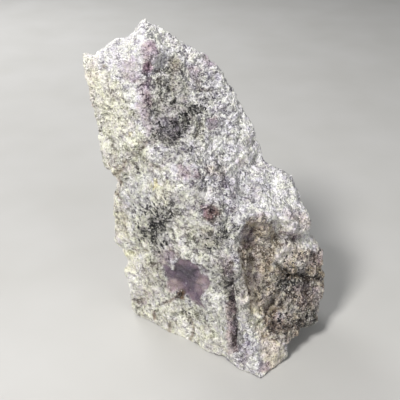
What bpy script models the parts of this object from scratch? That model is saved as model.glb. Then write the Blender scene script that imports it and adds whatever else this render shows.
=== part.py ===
"""Raw lepidolite: one broken lump of fine-grained lilac mica rock, standing on its broken foot.

The lump is joined from three convex blocks, each hulled from its outer corners. Hollows, steps, ribs
and grooves are then pressed into its skin, and its fracture facets and grain are added last.
X is to the right of the front view, Y goes away from the front, Z is up. The origin is at the middle
of the lump's foot.
"""

import math
from dataclasses import dataclass

import bmesh
import bpy
import numpy as np
from mathutils import Vector, noise

MM = 0.001
NODE = "lepidolite"

# Height of the finished lump. Every length below is in millimetres at this height.
HEIGHT = 106.0

# Outer corners of each block: across, depth, height.
LEFT_SLAB = {
    "front foot": (20, -30.5, -1.5),
    "middle of the foot": (22, 8, -1.5),
    "back foot": (6, 24, -1.5),
    "back left foot": (-14, 22, -1.5),
    "left foot": (-24.6, 4, -1.5),
    "left edge, low": (-25.8, 6, 14),
    "left edge, swell": (-31.7, 9, 34),
    "top left corner": (-38, 13, 96),
    "peak": (-17, 15, 107.5),
    "top facet, front": (-15, 3, 99),
    "front ridge, top": (-15, 1, 76),
    "front ridge, middle": (-1, -11, 57),
    "front ridge, low": (11, -21, 37),
    "top right shoulder": (2, 13, 95.5),
    "right edge, high": (12.2, 12, 83),
    "right edge, bend": (16.2, 11, 72),
    "right edge, waist": (21.3, 9, 63.5),
    "back of the peak": (-21, 25, 95),
    "back shoulder": (0, 26, 86),
    "back left, middle": (-22, 31, 50),
    "back left, low": (-25, 22, 20),
    "back, middle": (8, 32, 46),
    "back, low": (4, 30, 16),
}
RIGHT_SWELL = {
    "top": (23, 7, 60.5),
    "top right": (29.5, 6, 56.5),
    "right shoulder": (33.8, 6, 50.3),
    "inner front": (2, -8, 58),
    "ledge, left end": (13, -15, 52),
    "ledge, middle": (26, -9, 48),
    "ledge, right end": (37, -4, 44),
    "under the ledge, left": (12, -16, 44),
    "under the ledge, middle": (27, -5, 42),
    "under the ledge, right": (35, 0, 36),
    "back right": (31, 21, 44),
    "back right, low": (30, 20, 32),
    "back": (6, 28, 50),
    "inner foot": (10, 10, 20),
}
RIGHT_LOBE = {
    "recess, top left": (12, -14, 47),
    "recess, top right": (31, 2, 46),
    "widest": (42.3, 1, 29),
    "low": (43, -2, 15),
    "underside": (41.6, -8.5, 7.5),
    "foot, right side": (27, -22, -1.5),
    "front foot": (20, -30.5, -1.5),
    "middle of the foot": (24, 12, -1.5),
    "inner foot": (2, -10, -1.5),
    "back right, high": (32, 22, 38),
    "back right, low": (37, 14, 11),
    "back, low": (8, 29, 14),
}
BLOCKS = (LEFT_SLAB, RIGHT_SWELL, RIGHT_LOBE)

# Spacing of the fine skin's points, and how often the joined blocks' edges are worn round.
SKIN_STEP = 0.9
WEAR_PASSES = 3

# Triangles that the finished skin keeps: many at edges and ledges, few on flat ground.
TRIANGLES = 9400

# Skin lower than this is broken flat, and the lump rests on it.
FOOT_DEPTH = 2.8


@dataclass
class Form:
    """A hollow or, with a negative depth, a swelling: an oval seen from the side that it faces.

    facing is the compass angle that it faces, 0 for the front and 90 for the right, and above is how
    far it faces upwards. lean turns the oval clockwise. rim is the share of the oval over which it
    reaches its full depth: small for a step, 1 for a dish. A shelf of 1 lets the floor rise from the
    full depth at the left end of the oval to nothing at its right end.
    """

    name: str
    centre: tuple
    facing: float
    half_width: float
    half_height: float
    depth: float
    rim: float = 1.0
    lean: float = 0.0
    shelf: float = 0.0
    above: float = 0.0

    def axes(self):
        """Across, up and outward directions of the oval."""
        turn, rise = math.radians(self.facing), math.radians(self.above)
        out = Vector((math.sin(turn) * math.cos(rise), -math.cos(turn) * math.cos(rise), math.sin(rise)))
        level = Vector((math.cos(turn), math.sin(turn), 0))
        upward = level.cross(out).normalized() * -1
        lean = math.radians(self.lean)
        leant_level = level * math.cos(lean) - upward * math.sin(lean)
        leant_upward = upward * math.cos(lean) + level * math.sin(lean)
        return leant_level, leant_upward, out


FRONT_FORMS = (
    Form("broken-out bed beside the top ridge", (-4.5, 1, 86), 30, 12, 14.5, 4.0, 0.3, shelf=0.8),
    Form("hollow of the broken-out bed", (-6, -1, 87), 25, 7, 10, 1.8),
    Form("foot of the broken-out bed", (-9, -3, 77), 15, 5, 4, 1.5),
    Form("dip behind the peak", (-10.5, 12, 101), 50, 5.5, 4, 2.8, above=50),
    Form("saddle left of the peak", (-24, 15, 103), -30, 8.5, 7, 2.8, above=70),
    Form("dip beside the top left corner", (-32.5, 14, 98.5), -30, 5.5, 6, 2.2, above=70),
    Form("step under the upper left plate", (-17.7, -1, 60), -37, 8, 9, 1.4, 0.25, lean=43, shelf=1),
    Form("hollow down the left edge", (-35, 12, 74), -80, 8, 18, 1.6),
    Form("notch in the left edge", (-32, 10, 52.5), -80, 8, 7, 3.6, 0.6),
    Form("hollow low on the left edge", (-27.5, 8, 21), -80, 8, 6.5, 2.0),
    Form("seam of the left flank", (-25.5, 4, 38), -45, 1.7, 11, 1.2, lean=-14),
    Form("dish in the left face", (-13.7, -4.6, 43), -37, 7, 6, 1.0),
    Form("notch in the waist", (20, 7, 63), 65, 9, 3.5, 1.2, above=30),
    Form("valley above the ledge", (10, -12, 62), 10, 6, 5, 1.2),
    Form("pit between slab and swell", (2.7, -13.8, 54), 0, 2.4, 2.0, 1.8, 0.6),
    Form("step under the ledge", (20, -11, 42), 36, 9, 11, 2.8, 0.35, lean=90, shelf=0.9),
    Form("step beside the front arris", (19.3, -13, 30), 50, 7, 15, 2.6, 0.2, shelf=1),
    Form("brow over the crevice", (27.5, -7, 37), 36, 7, 2.2, -1.6, lean=10),
    Form("upper bulge of the lobe", (35, -5, 30), 45, 5, 3.5, -1.2),
    Form("crevice in the lobe", (33, -8.5, 25.5), 42, 8, 1.9, 3.4, 0.8, lean=28),
    Form("lower bulge of the lobe", (34.5, -10, 17), 45, 7, 6, -1.4),
    Form("pocket above the foot", (25.5, -18, 15.5), 40, 4.5, 6, 2.6, 0.6, lean=15),
    Form("undercut right of the foot", (34.5, -14.5, 2.5), 50, 9.5, 5.5, 4.2, 0.8, above=-15),
    Form("groove beside the arris, high", (10.5, -21, 28), -5, 2.2, 10, 2.4, 0.8, lean=-4),
    Form("groove beside the arris, low", (11.9, -23, 13), -5, 2.6, 9, 3.2, 0.6, shelf=0.5),
    Form("bed of the glassy patch", (-4.6, -11, 26), -37, 7.5, 5.5, 1.4, 0.25, lean=35),
    Form("pit beside the glassy patch", (0, -14, 31), -37, 2.8, 1.8, 1.6, 0.7, lean=20),
    Form("seam of the scalloped plate", (-3.2, -11.6, 7), -37, 1.5, 8, 1.5, lean=8),
    Form("lip of the front foot", (4, -17, 1.5), -37, 8, 3, -1.2),
    Form("pits low on the left", (-21.5, 2, 9.5), -37, 3.4, 2.0, 1.5, 0.7, lean=30),
)
BACK_FORMS = (
    Form("shell-shaped hollow, back", (-8, 28, 68), 185, 17, 15, 4.0, 0.6, lean=20, shelf=0.5),
    Form("broken bed, low on the back", (6, 30, 26), 172, 19, 12, 3.0, 0.2, lean=-14, shelf=0.7),
    Form("rib down the back", (-12, 30, 40), 195, 3.5, 20, -1.8, lean=25),
    Form("chip off the back edge, high", (-23, 27, 80), 215, 9, 8, 3.2, 0.2, lean=70, shelf=1),
    Form("chip off the back edge, low", (-22, 28, 32), 215, 8, 11, 2.6, 0.35, lean=60, shelf=1),
    Form("step on the back right", (30, 20, 34), 125, 11, 10, 3.0, 0.2, lean=65, shelf=0.9),
    Form("hollow on the back left", (-30, 18, 44), 255, 9, 14, 2.4, 0.8, lean=-8),
    Form("step on the back left", (-30, 20, 76), 240, 8, 9, 2.0, 0.2, lean=110, shelf=0.8),
    Form("chip off the back shoulder", (4, 24, 86), 150, 8, 7, 2.4, 0.4, above=35),
    Form("chip off the back foot", (-20, 16, 4), 225, 9, 7, 2.4, 0.6),
)

# How far the outlines of the front and back forms wander, and over what length.
FRONT_STRAY = 2.2
BACK_STRAY = 4.5
STRAY_LENGTH = 7.0

# A form works fully on skin that leans at least this much to its side, as a cosine.
FULL_FACING = 0.5

# Fracture facets: their size and slope. Lumps: their size and height.
FACETS = ((15.0, 0.09), (6.5, 0.15))
LUMPS = ((21.0, 1.0), (9.0, 0.6), (4.2, 0.5))

# Share of a facet that slopes over to the next one, and what tells their directions apart.
FACET_EDGE = 0.25
FACET_SEED = 41.0
SEED_SHIFT = Vector((3.7, 11.3, 5.1))


def clear_scene():
    """Remove what the scene holds."""
    for obj in list(bpy.data.objects):
        bpy.data.objects.remove(obj, do_unlink=True)


def hull_mesh(blocks):
    """One mesh that holds the closed hull of each block's corners."""
    mesh = bpy.data.meshes.new("blocks")
    shape = bmesh.new()
    for corners in blocks:
        verts = [shape.verts.new(corner) for corner in corners.values()]
        bmesh.ops.convex_hull(shape, input=verts)
        spare = [v for v in verts if v.is_valid and not v.link_faces]
        bmesh.ops.delete(shape, geom=spare, context="VERTS")
    bmesh.ops.recalc_face_normals(shape, faces=shape.faces)
    shape.to_mesh(mesh)
    shape.free()
    return mesh


def joined_skin(mesh, step, wear_passes):
    """The blocks joined in one skin of evenly spaced points, with its edges worn."""
    blank = bpy.data.objects.new("blank", mesh)
    bpy.context.scene.collection.objects.link(blank)
    remesh = blank.modifiers.new("join", "REMESH")
    remesh.mode = "VOXEL"
    remesh.voxel_size = step
    wear = blank.modifiers.new("wear", "SMOOTH")
    wear.factor = 0.5
    wear.iterations = wear_passes
    graph = bpy.context.evaluated_depsgraph_get()
    skin = bpy.data.meshes.new_from_object(blank.evaluated_get(graph))
    bpy.data.objects.remove(blank)
    return skin


def thinned_skin(skin, triangles):
    """The skin with only so many triangles, kept where it bends most."""
    blank = bpy.data.objects.new("blank", skin)
    bpy.context.scene.collection.objects.link(blank)
    skin.calc_loop_triangles()
    thin = blank.modifiers.new("thin", "DECIMATE")
    thin.ratio = triangles / len(skin.loop_triangles)
    thin.use_collapse_triangulate = True
    graph = bpy.context.evaluated_depsgraph_get()
    thinned = bpy.data.meshes.new_from_object(blank.evaluated_get(graph))
    bpy.data.objects.remove(blank)
    return thinned


def points_of(skin):
    """The skin's points, one row each."""
    points = np.empty(len(skin.vertices) * 3, dtype=np.float32)
    skin.vertices.foreach_get("co", points)
    return points.reshape(-1, 3).astype(float)


def set_points(skin, points):
    """Move the skin's points."""
    skin.vertices.foreach_set("co", points.astype(np.float32).ravel())
    skin.update()


def outward_at(skin, points):
    """The way out of the stone at each of its points. Every face of the skin has four corners."""
    corners = np.empty(len(skin.loops), dtype=np.int32)
    skin.loops.foreach_get("vertex_index", corners)
    corners = corners.reshape(-1, 4)
    first, second, third, fourth = (points[column] for column in corners.T)
    across_faces = np.cross(third - first, fourth - second)
    outward = np.zeros_like(points)
    for column in corners.T:
        np.add.at(outward, column, across_faces)
    return outward / np.linalg.norm(outward, axis=1)[:, None]


def smooth_step(values):
    """0 below 0, 1 above 1, and an even S between them."""
    values = np.clip(values, 0.0, 1.0)
    return values * values * (3 - 2 * values)


def press(points, outward, stray, form):
    """The points with those in the form's oval moved, on the side that it faces."""
    across, upward, out = (np.array(axis) for axis in form.axes())
    offsets = points + stray - np.array(form.centre)
    along = offsets @ across / form.half_width
    reach = np.hypot(along, offsets @ upward / form.half_height)
    near = np.abs((points - np.array(form.centre)) @ out) < 2 * max(form.half_width, form.half_height)
    share = smooth_step((1 - reach) / form.rim) * smooth_step(outward @ out / FULL_FACING) * near
    depths = form.depth * share * (1 - form.shelf * (1 + along) / 2)
    return points - depths[:, None] * out


def wander(point):
    """How the forms' outlines stray at a point: a share of their reach along each axis."""
    place = point / STRAY_LENGTH
    return [noise.noise(place + SEED_SHIFT * (axis + 1)) for axis in range(3)]


def facet_height(point, size, lean):
    """Height of a skin of flat facets, each leaning its own way, that meet in short slopes."""
    place = point / size + SEED_SHIFT
    distances, sites = noise.voronoi(place)
    leans = [noise.cell_vector(site * FACET_SEED) * 2 - Vector((1, 1, 1)) for site in sites[:2]]
    heights = [way.dot(place - site) * lean * size for way, site in zip(leans, sites)]
    own = 0.5 + 0.5 * float(smooth_step((distances[1] - distances[0]) / FACET_EDGE))
    return heights[0] * own + heights[1] * (1 - own)


def rough_height(point):
    """Height of the fracture facets and lumps at a point."""
    facets = sum(facet_height(point, size, lean) for size, lean in FACETS)
    return facets + sum(noise.noise(point / size + SEED_SHIFT) * swing for size, swing in LUMPS)


def sculpt(skin):
    """Press the forms into the skin, then give it its facets and lumps."""
    points = points_of(skin)
    stray = np.array([wander(Vector(point)) for point in points])
    for forms, reach in ((FRONT_FORMS, FRONT_STRAY), (BACK_FORMS, BACK_STRAY)):
        for form in forms:
            points = press(points, outward_at(skin, points), stray * reach, form)
    heights = np.array([rough_height(Vector(point)) for point in points])
    points += outward_at(skin, points) * heights[:, None]
    set_points(skin, points)


def break_foot_flat(skin, depth):
    """Lay the lowest skin in one level face, at height 0."""
    points = points_of(skin)
    points[:, 2] = np.maximum(points[:, 2] - points[:, 2].min() - depth, 0.0)
    set_points(skin, points)


def stand_at_origin(skin, height):
    """Scale the skin to the lump's height in metres, with the middle of its box over the origin."""
    points = points_of(skin)
    low, high = points.min(axis=0), points.max(axis=0)
    middle = np.array(((low[0] + high[0]) / 2, (low[1] + high[1]) / 2, low[2]))
    set_points(skin, (points - middle) * height * MM / (high[2] - low[2]))


def lilac_stone():
    """The lump's plain material."""
    material = bpy.data.materials.new("lilac stone")
    material.use_nodes = True
    shader = material.node_tree.nodes["Principled BSDF"]
    shader.inputs["Base Color"].default_value = (0.47, 0.43, 0.47, 1.0)
    shader.inputs["Roughness"].default_value = 0.55
    shader.inputs["Metallic"].default_value = 0.0
    return material


def build():
    """Make the lump."""
    clear_scene()
    skin = joined_skin(hull_mesh(BLOCKS), SKIN_STEP, WEAR_PASSES)
    sculpt(skin)
    skin = thinned_skin(skin, TRIANGLES)
    break_foot_flat(skin, FOOT_DEPTH)
    stand_at_origin(skin, HEIGHT)
    skin.materials.append(lilac_stone())
    lump = bpy.data.objects.new(NODE, skin)
    bpy.context.scene.collection.objects.link(lump)


build()
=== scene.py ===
"""A hand specimen of raw lepidolite: the stone's broken skin, its mica flakes, the stage and the light."""
import math
from dataclasses import dataclass

import bpy
import numpy as np
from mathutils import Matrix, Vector, noise
from mathutils.bvhtree import BVHTree
from mathutils.kdtree import KDTree


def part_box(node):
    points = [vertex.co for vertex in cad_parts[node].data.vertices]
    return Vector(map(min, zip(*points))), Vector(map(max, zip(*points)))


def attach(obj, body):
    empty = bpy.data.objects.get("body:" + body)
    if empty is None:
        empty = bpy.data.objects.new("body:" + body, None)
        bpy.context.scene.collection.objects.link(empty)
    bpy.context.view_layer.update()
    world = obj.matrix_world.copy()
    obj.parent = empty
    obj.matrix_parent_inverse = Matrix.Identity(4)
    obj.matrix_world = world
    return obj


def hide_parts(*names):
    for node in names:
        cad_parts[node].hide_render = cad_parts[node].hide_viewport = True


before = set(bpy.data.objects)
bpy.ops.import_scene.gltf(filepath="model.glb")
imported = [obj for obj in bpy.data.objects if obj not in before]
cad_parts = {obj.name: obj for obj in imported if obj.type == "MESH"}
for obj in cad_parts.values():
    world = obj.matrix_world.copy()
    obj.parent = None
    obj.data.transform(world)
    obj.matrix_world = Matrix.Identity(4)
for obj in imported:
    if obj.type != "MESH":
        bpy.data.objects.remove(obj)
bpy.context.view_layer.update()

NODE = "lepidolite"
BODY = "root"
MM = 0.001

# The photograph's view, in millimetres, degrees and pixels
AIM = np.array((-3.4, -2.5, 51.0))
ELEVATION = math.radians(30.0)
DISTANCE = 220.0
FIELD_OF_VIEW = math.radians(33.0)
PICTURE = 400
SENSOR = 36.0
FORWARD = np.array((0.0, math.cos(ELEVATION), -math.sin(ELEVATION)))
UPWARD = np.array((0.0, math.sin(ELEVATION), math.cos(ELEVATION)))
EYE = AIM - FORWARD * DISTANCE
FOCAL = PICTURE / 2 / math.tan(FIELD_OF_VIEW / 2)

# The skin of the stone: lengths in millimetres, and how much and how often it is smoothed
SKIN_STEP = 0.56
SKIN_WEAR = 0.5
SKIN_PASSES = 3
WELD = 0.01
SINK = 0.05
FOOT_START = 0.3
FOOT_FADE = 2.5
BOX_MARGIN = 0.02
LEVEL_PASSES = 14
RELIEF_SPAN = 0.35

# The flat map of the skin: the sharpest bend in one island, in degrees, and the gap between islands
ISLAND_BEND = 66
ISLAND_GAP = 0.002

# Where each kind of rock is on the side that the photograph shows. A patch's numbers are its strength,
# how far its edge fades and how far it strays, in pixels, and the corners drawn round it in the
# photograph's pixels.
PATCHES = {}
# Warm white rock
PATCHES["cream"] = (
    # The whole left side
    (1.0, 8, 7, (70, 60), (98, 64), (105, 80), (116, 100), (130, 116), (145, 136), (152, 152),
     (152, 182), (160, 204), (160, 240), (170, 262), (162, 276), (168, 294), (184, 302), (206, 300),
     (224, 298), (227, 320), (226, 352), (205, 366), (150, 352), (105, 310), (85, 240), (80, 150)),
    # Left face
    (0.9, 4, 4, (104, 76), (118, 78), (128, 104), (140, 112), (136, 120), (112, 108)),
    # Bed broken out beside the ridge
    (0.7, 3, 3, (194, 118), (206, 118), (206, 142), (195, 142)),
    # Right face
    (0.25, 5, 4, (206, 130), (240, 128), (262, 142), (262, 168), (240, 168), (214, 162)),
    (0.7, 4, 4, (240, 142), (262, 146), (264, 158), (246, 168)),
    # Waist
    (0.5, 5, 5, (146, 150), (166, 150), (186, 180), (188, 200), (160, 206), (150, 182)),
    (0.7, 4, 4, (170, 178), (186, 180), (188, 206), (172, 206)),
    # Around the black spot
    (0.6, 6, 5, (160, 204), (190, 210), (200, 222), (230, 226), (232, 262), (228, 300), (206, 300),
     (208, 278), (186, 260), (170, 262), (160, 240)),
    # Between the black spot and the hollow
    (0.7, 5, 4, (178, 234), (216, 240), (216, 266), (182, 262)),
    # Low left
    (0.8, 4, 4, (152, 280), (172, 284), (176, 300), (156, 302)),
    # Brown hollow and lobe
    (0.4, 4, 4, (238, 240), (248, 262), (252, 336), (240, 340), (236, 290)),
    (0.9, 2, 2, (251, 300), (260, 300), (267, 332), (256, 336)),
    (0.6, 3, 2, (270, 250), (290, 244), (296, 254), (276, 274), (264, 272)),
    (0.6, 2, 2, (279, 216), (292, 214), (296, 226), (284, 232)),
    # Groove and front foot
    (0.4, 4, 3, (248, 334), (262, 338), (262, 376), (248, 374)),
    (1.0, 3, 3, (258, 332), (280, 338), (288, 356), (272, 376), (260, 374)),
    (0.8, 4, 4, (198, 336), (232, 338), (234, 356), (206, 354)),
)
# Greenish grey rock
PATCHES["olive"] = (
    (0.25, 5, 5, (84, 74), (106, 78), (120, 88), (132, 120), (134, 140), (112, 142), (98, 118)),
    (0.4, 3, 3, (192, 118), (206, 118), (208, 154), (196, 158)),
    (0.65, 4, 4, (158, 66), (176, 58), (190, 72), (196, 92), (204, 112), (196, 136), (178, 146),
     (158, 148), (148, 134), (146, 112), (147, 90)),
    (0.45, 6, 5, (130, 204), (150, 200), (172, 206), (182, 218), (176, 238), (160, 248), (136, 244),
     (126, 226)),
    (0.5, 6, 5, (164, 188), (196, 194), (204, 224), (236, 230), (234, 262), (200, 256), (176, 230)),
    (0.5, 4, 4, (246, 226), (270, 232), (278, 252), (262, 268), (258, 284), (244, 280)),
)
# Brown rock
PATCHES["brown"] = (
    # Bed broken out beside the ridge
    (0.5, 3, 3, (168, 62), (178, 58), (178, 72), (170, 72)),
    # Waist
    (0.45, 2, 2, (205, 165), (226, 166), (224, 176), (206, 176)),
    (0.15, 3, 3, (112, 168), (126, 166), (126, 190), (114, 190)),
    # Around the black spot
    (0.3, 3, 4, (110, 200), (124, 202), (128, 240), (116, 236)),
    # Between the black spot and the hollow
    (0.5, 2, 2, (201, 207), (213, 204), (217, 216), (207, 220)),
    (0.5, 3, 3, (218, 262), (232, 262), (234, 300), (226, 300)),
    (0.6, 3, 3, (204, 209), (220, 207), (222, 220), (210, 224)),
    (0.5, 3, 3, (199, 230), (213, 230), (216, 244), (204, 250)),
    # Brown hollow and lobe
    (0.35, 3, 4, (238, 238), (248, 250), (252, 326), (242, 334), (237, 290)),
    (0.9, 3, 3, (243, 232), (248, 218), (262, 214), (273, 224), (280, 240), (296, 246), (310, 244),
     (328, 254), (332, 290), (322, 326), (300, 336), (288, 344), (270, 340), (262, 316), (250, 312),
     (243, 286), (241, 256)),
    # Groove and front foot
    (0.2, 4, 3, (266, 336), (284, 342), (284, 362), (268, 368)),
    (0.35, 3, 2, (262, 342), (272, 342), (274, 360), (264, 360)),
    (0.6, 2, 2, (225, 302), (233, 300), (238, 346), (237, 352), (227, 354), (226, 330)),
)
# Bright rock: frosty white mica, and painted light on the faces that turn to the lamp, such as the top
# facet, the swell, the foot and the rims
PATCHES["frost_and_light"] = (
    # Top facet and ridge
    (1.0, 5, 4, (70, 46), (112, 28), (143, 8), (158, 26), (152, 40), (128, 56), (104, 60), (84, 63)),
    (1.0, 3, 3, (140, 16), (166, 26), (176, 40), (172, 46), (158, 48), (148, 44)),
    (1.0, 2, 2, (194, 45), (210, 50), (212, 58), (196, 58)),
    (0.3, 3, 2, (150, 54), (160, 54), (163, 68), (153, 70)),
    # Left face
    (0.5, 3, 3, (106, 52), (122, 52), (122, 70), (114, 84), (118, 100), (108, 98)),
    (0.4, 4, 3, (80, 50), (100, 48), (106, 60), (96, 80), (84, 80)),
    (0.7, 6, 6, (104, 58), (128, 54), (146, 44), (144, 62), (143, 84), (140, 112), (130, 108),
     (118, 88)),
    (0.9, 2, 3, (80, 50), (92, 52), (95, 76), (85, 80)),
    (0.95, 4, 3, (104, 54), (126, 53), (127, 70), (107, 71)),
    (0.42, 5, 5, (84, 74), (106, 78), (120, 88), (132, 120), (134, 140), (112, 142), (98, 118)),
    # Bed broken out beside the ridge
    (0.4, 3, 3, (182, 74), (196, 76), (198, 90), (186, 92)),
    # Right face
    (0.8, 4, 4, (226, 146), (246, 134), (264, 146), (262, 158), (240, 176), (224, 178)),
    (0.65, 5, 4, (156, 26), (172, 28), (196, 46), (214, 52), (234, 78), (254, 128), (262, 150),
     (248, 150), (238, 128), (222, 98), (204, 72), (186, 60), (162, 48)),
    (0.35, 5, 5, (200, 78), (222, 84), (238, 118), (246, 150), (222, 160), (206, 148), (205, 120)),
    (0.5, 3, 3, (212, 132), (228, 128), (238, 142), (236, 158), (218, 154)),
    (0.95, 3, 3, (248, 130), (263, 138), (264, 152), (252, 152)),
    (0.9, 3, 3, (216, 99), (228, 99), (229, 112), (218, 113)),
    # Swell and its brow
    (0.5, 2, 2, (248, 206), (264, 204), (266, 213), (250, 216)),
    (1.0, 3, 3, (258, 186), (290, 184), (296, 204), (266, 206)),
    (0.9, 5, 4, (232, 178), (246, 166), (262, 154), (294, 174), (310, 206), (308, 226), (284, 214),
     (266, 207), (248, 208), (234, 200)),
    (0.6, 2, 2, (232, 214), (250, 206), (276, 208), (282, 216), (262, 213), (246, 216), (238, 224)),
    (0.9, 2, 2, (254, 206), (274, 206), (274, 213), (254, 214)),
    (0.9, 3, 3, (284, 214), (299, 214), (299, 226), (286, 226)),
    # Waist
    (0.7, 3, 3, (144, 143), (160, 141), (178, 148), (172, 160), (150, 158)),
    (0.4, 3, 3, (104, 148), (114, 150), (119, 166), (118, 182), (108, 180)),
    (0.45, 5, 4, (116, 184), (146, 186), (148, 208), (120, 210)),
    (0.5, 3, 3, (174, 166), (188, 164), (192, 184), (180, 186)),
    (0.4, 5, 5, (140, 172), (172, 170), (192, 180), (186, 192), (160, 204), (142, 204)),
    (0.3, 3, 3, (164, 162), (178, 160), (182, 170), (168, 174)),
    (0.2, 3, 3, (204, 190), (216, 188), (226, 200), (208, 202)),
    (0.1, 6, 5, (156, 146), (190, 142), (228, 140), (232, 176), (206, 190), (172, 184)),
    # Around the black spot
    (0.35, 3, 3, (186, 204), (198, 202), (204, 224), (192, 228)),
    # Between the black spot and the hollow
    (0.2, 2, 2, (232, 224), (243, 222), (245, 232), (241, 244), (234, 242)),
    (0.5, 3, 3, (221, 240), (232, 238), (234, 258), (224, 260)),
    (0.7, 2, 2, (220, 217), (231, 217), (232, 229), (222, 229)),
    # Low left
    (0.4, 3, 3, (150, 282), (166, 288), (168, 304), (154, 306)),
    (0.25, 5, 4, (196, 300), (224, 304), (224, 334), (204, 330)),
    (0.5, 4, 3, (118, 238), (136, 240), (146, 262), (142, 282), (130, 284), (122, 264)),
    (0.6, 4, 4, (150, 312), (180, 318), (200, 320), (200, 340), (170, 334), (150, 322)),
    (0.3, 3, 3, (206, 292), (218, 290), (218, 304), (208, 306)),
    (0.4, 4, 3, (124, 258), (144, 257), (147, 298), (130, 300)),
    # Brown hollow and lobe
    (0.65, 3, 3, (266, 212), (280, 212), (304, 222), (306, 236), (290, 238), (274, 222)),
    (0.2, 3, 3, (242, 228), (252, 226), (262, 234), (262, 246), (248, 248)),
    (0.45, 3, 3, (242, 260), (258, 260), (260, 274), (246, 276)),
    (0.35, 3, 3, (246, 284), (258, 284), (259, 300), (250, 302)),
    (1.0, 3, 3, (292, 232), (312, 230), (324, 248), (312, 254), (296, 248)),
    (0.45, 3, 3, (278, 246), (306, 248), (312, 262), (290, 264), (278, 258)),
    (0.5, 2, 2, (306, 228), (322, 248), (326, 260), (318, 256), (300, 244)),
    (0.85, 2, 2, (274, 254), (286, 241), (295, 240), (293, 252), (282, 264), (273, 270)),
    (0.3, 2, 2, (251, 300), (260, 300), (267, 332), (256, 336)),
    (0.7, 2, 2, (311, 288), (320, 284), (327, 298), (320, 316), (313, 312), (316, 298)),
    (0.5, 1.5, 2, (287, 306), (297, 305), (298, 312), (289, 315)),
    (0.6, 1.5, 2, (277, 311), (286, 311), (286, 319), (278, 320)),
    (0.6, 1, 1, (281, 287), (285, 287), (285, 297), (281, 297)),
    (0.15, 3, 3, (238, 290), (249, 296), (253, 334), (240, 340)),
    (0.4, 3, 3, (256, 234), (272, 234), (272, 246), (258, 246)),
    (0.7, 3, 3, (236, 317), (256, 317), (256, 330), (238, 331)),
    # Groove and front foot
    (0.7, 4, 4, (198, 338), (226, 346), (242, 364), (206, 356)),
    (0.4, 3, 3, (212, 296), (226, 294), (228, 306), (216, 310)),
    (0.9, 3, 3, (250, 330), (268, 328), (276, 346), (272, 372), (252, 374)),
    (0.5, 4, 3, (244, 346), (253, 334), (264, 340), (282, 350), (282, 368), (262, 382), (244, 372)),
    (1.0, 3, 3, (254, 342), (286, 346), (284, 370), (262, 375)),
)
# Yellow tints and spots
PATCHES["yellow"] = (
    (0.9, 1, 1, (129, 132), (132, 132), (132, 136), (129, 136)),
    (0.2, 6, 6, (84, 64), (104, 66), (122, 90), (130, 118), (128, 138), (110, 138), (92, 94)),
    (0.9, 1.5, 2, (150, 181), (156, 179), (159, 186), (152, 190)),
    (0.3, 4, 4, (160, 178), (176, 186), (166, 204), (152, 200)),
    (0.15, 4, 4, (186, 216), (198, 214), (194, 244), (184, 240)),
    (0.15, 5, 5, (140, 312), (200, 322), (232, 346), (226, 362), (160, 340)),
    (0.5, 4, 4, (120, 250), (136, 250), (136, 272), (124, 272)),
    (0.12, 4, 3, (124, 258), (146, 257), (149, 290), (130, 296)),
    (0.4, 3, 2, (253, 308), (260, 308), (264, 328), (256, 330)),
    (0.3, 4, 3, (248, 308), (263, 310), (264, 336), (252, 338)),
)
# Pale warm tints
PATCHES["sand"] = (
    (0.35, 3, 4, (81, 54), (98, 56), (99, 80), (88, 98), (83, 80)),
    (0.25, 4, 4, (104, 148), (116, 150), (120, 182), (108, 182)),
    (0.35, 3, 3, (108, 162), (122, 164), (122, 180), (112, 180)),
    (0.4, 3, 3, (257, 292), (274, 290), (274, 304), (260, 308)),
    (0.35, 4, 4, (272, 218), (300, 222), (322, 246), (325, 264), (300, 260), (276, 262)),
    (0.4, 4, 4, (236, 246), (258, 250), (260, 312), (246, 314)),
    (0.5, 3, 3, (263, 298), (277, 298), (277, 310), (264, 310)),
    (0.4, 4, 4, (290, 216), (308, 214), (326, 248), (306, 250)),
    (0.3, 4, 4, (306, 284), (328, 284), (322, 318), (304, 322)),
    (0.85, 3, 3, (257, 326), (270, 330), (286, 350), (280, 370), (264, 372), (259, 346)),
)
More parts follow.
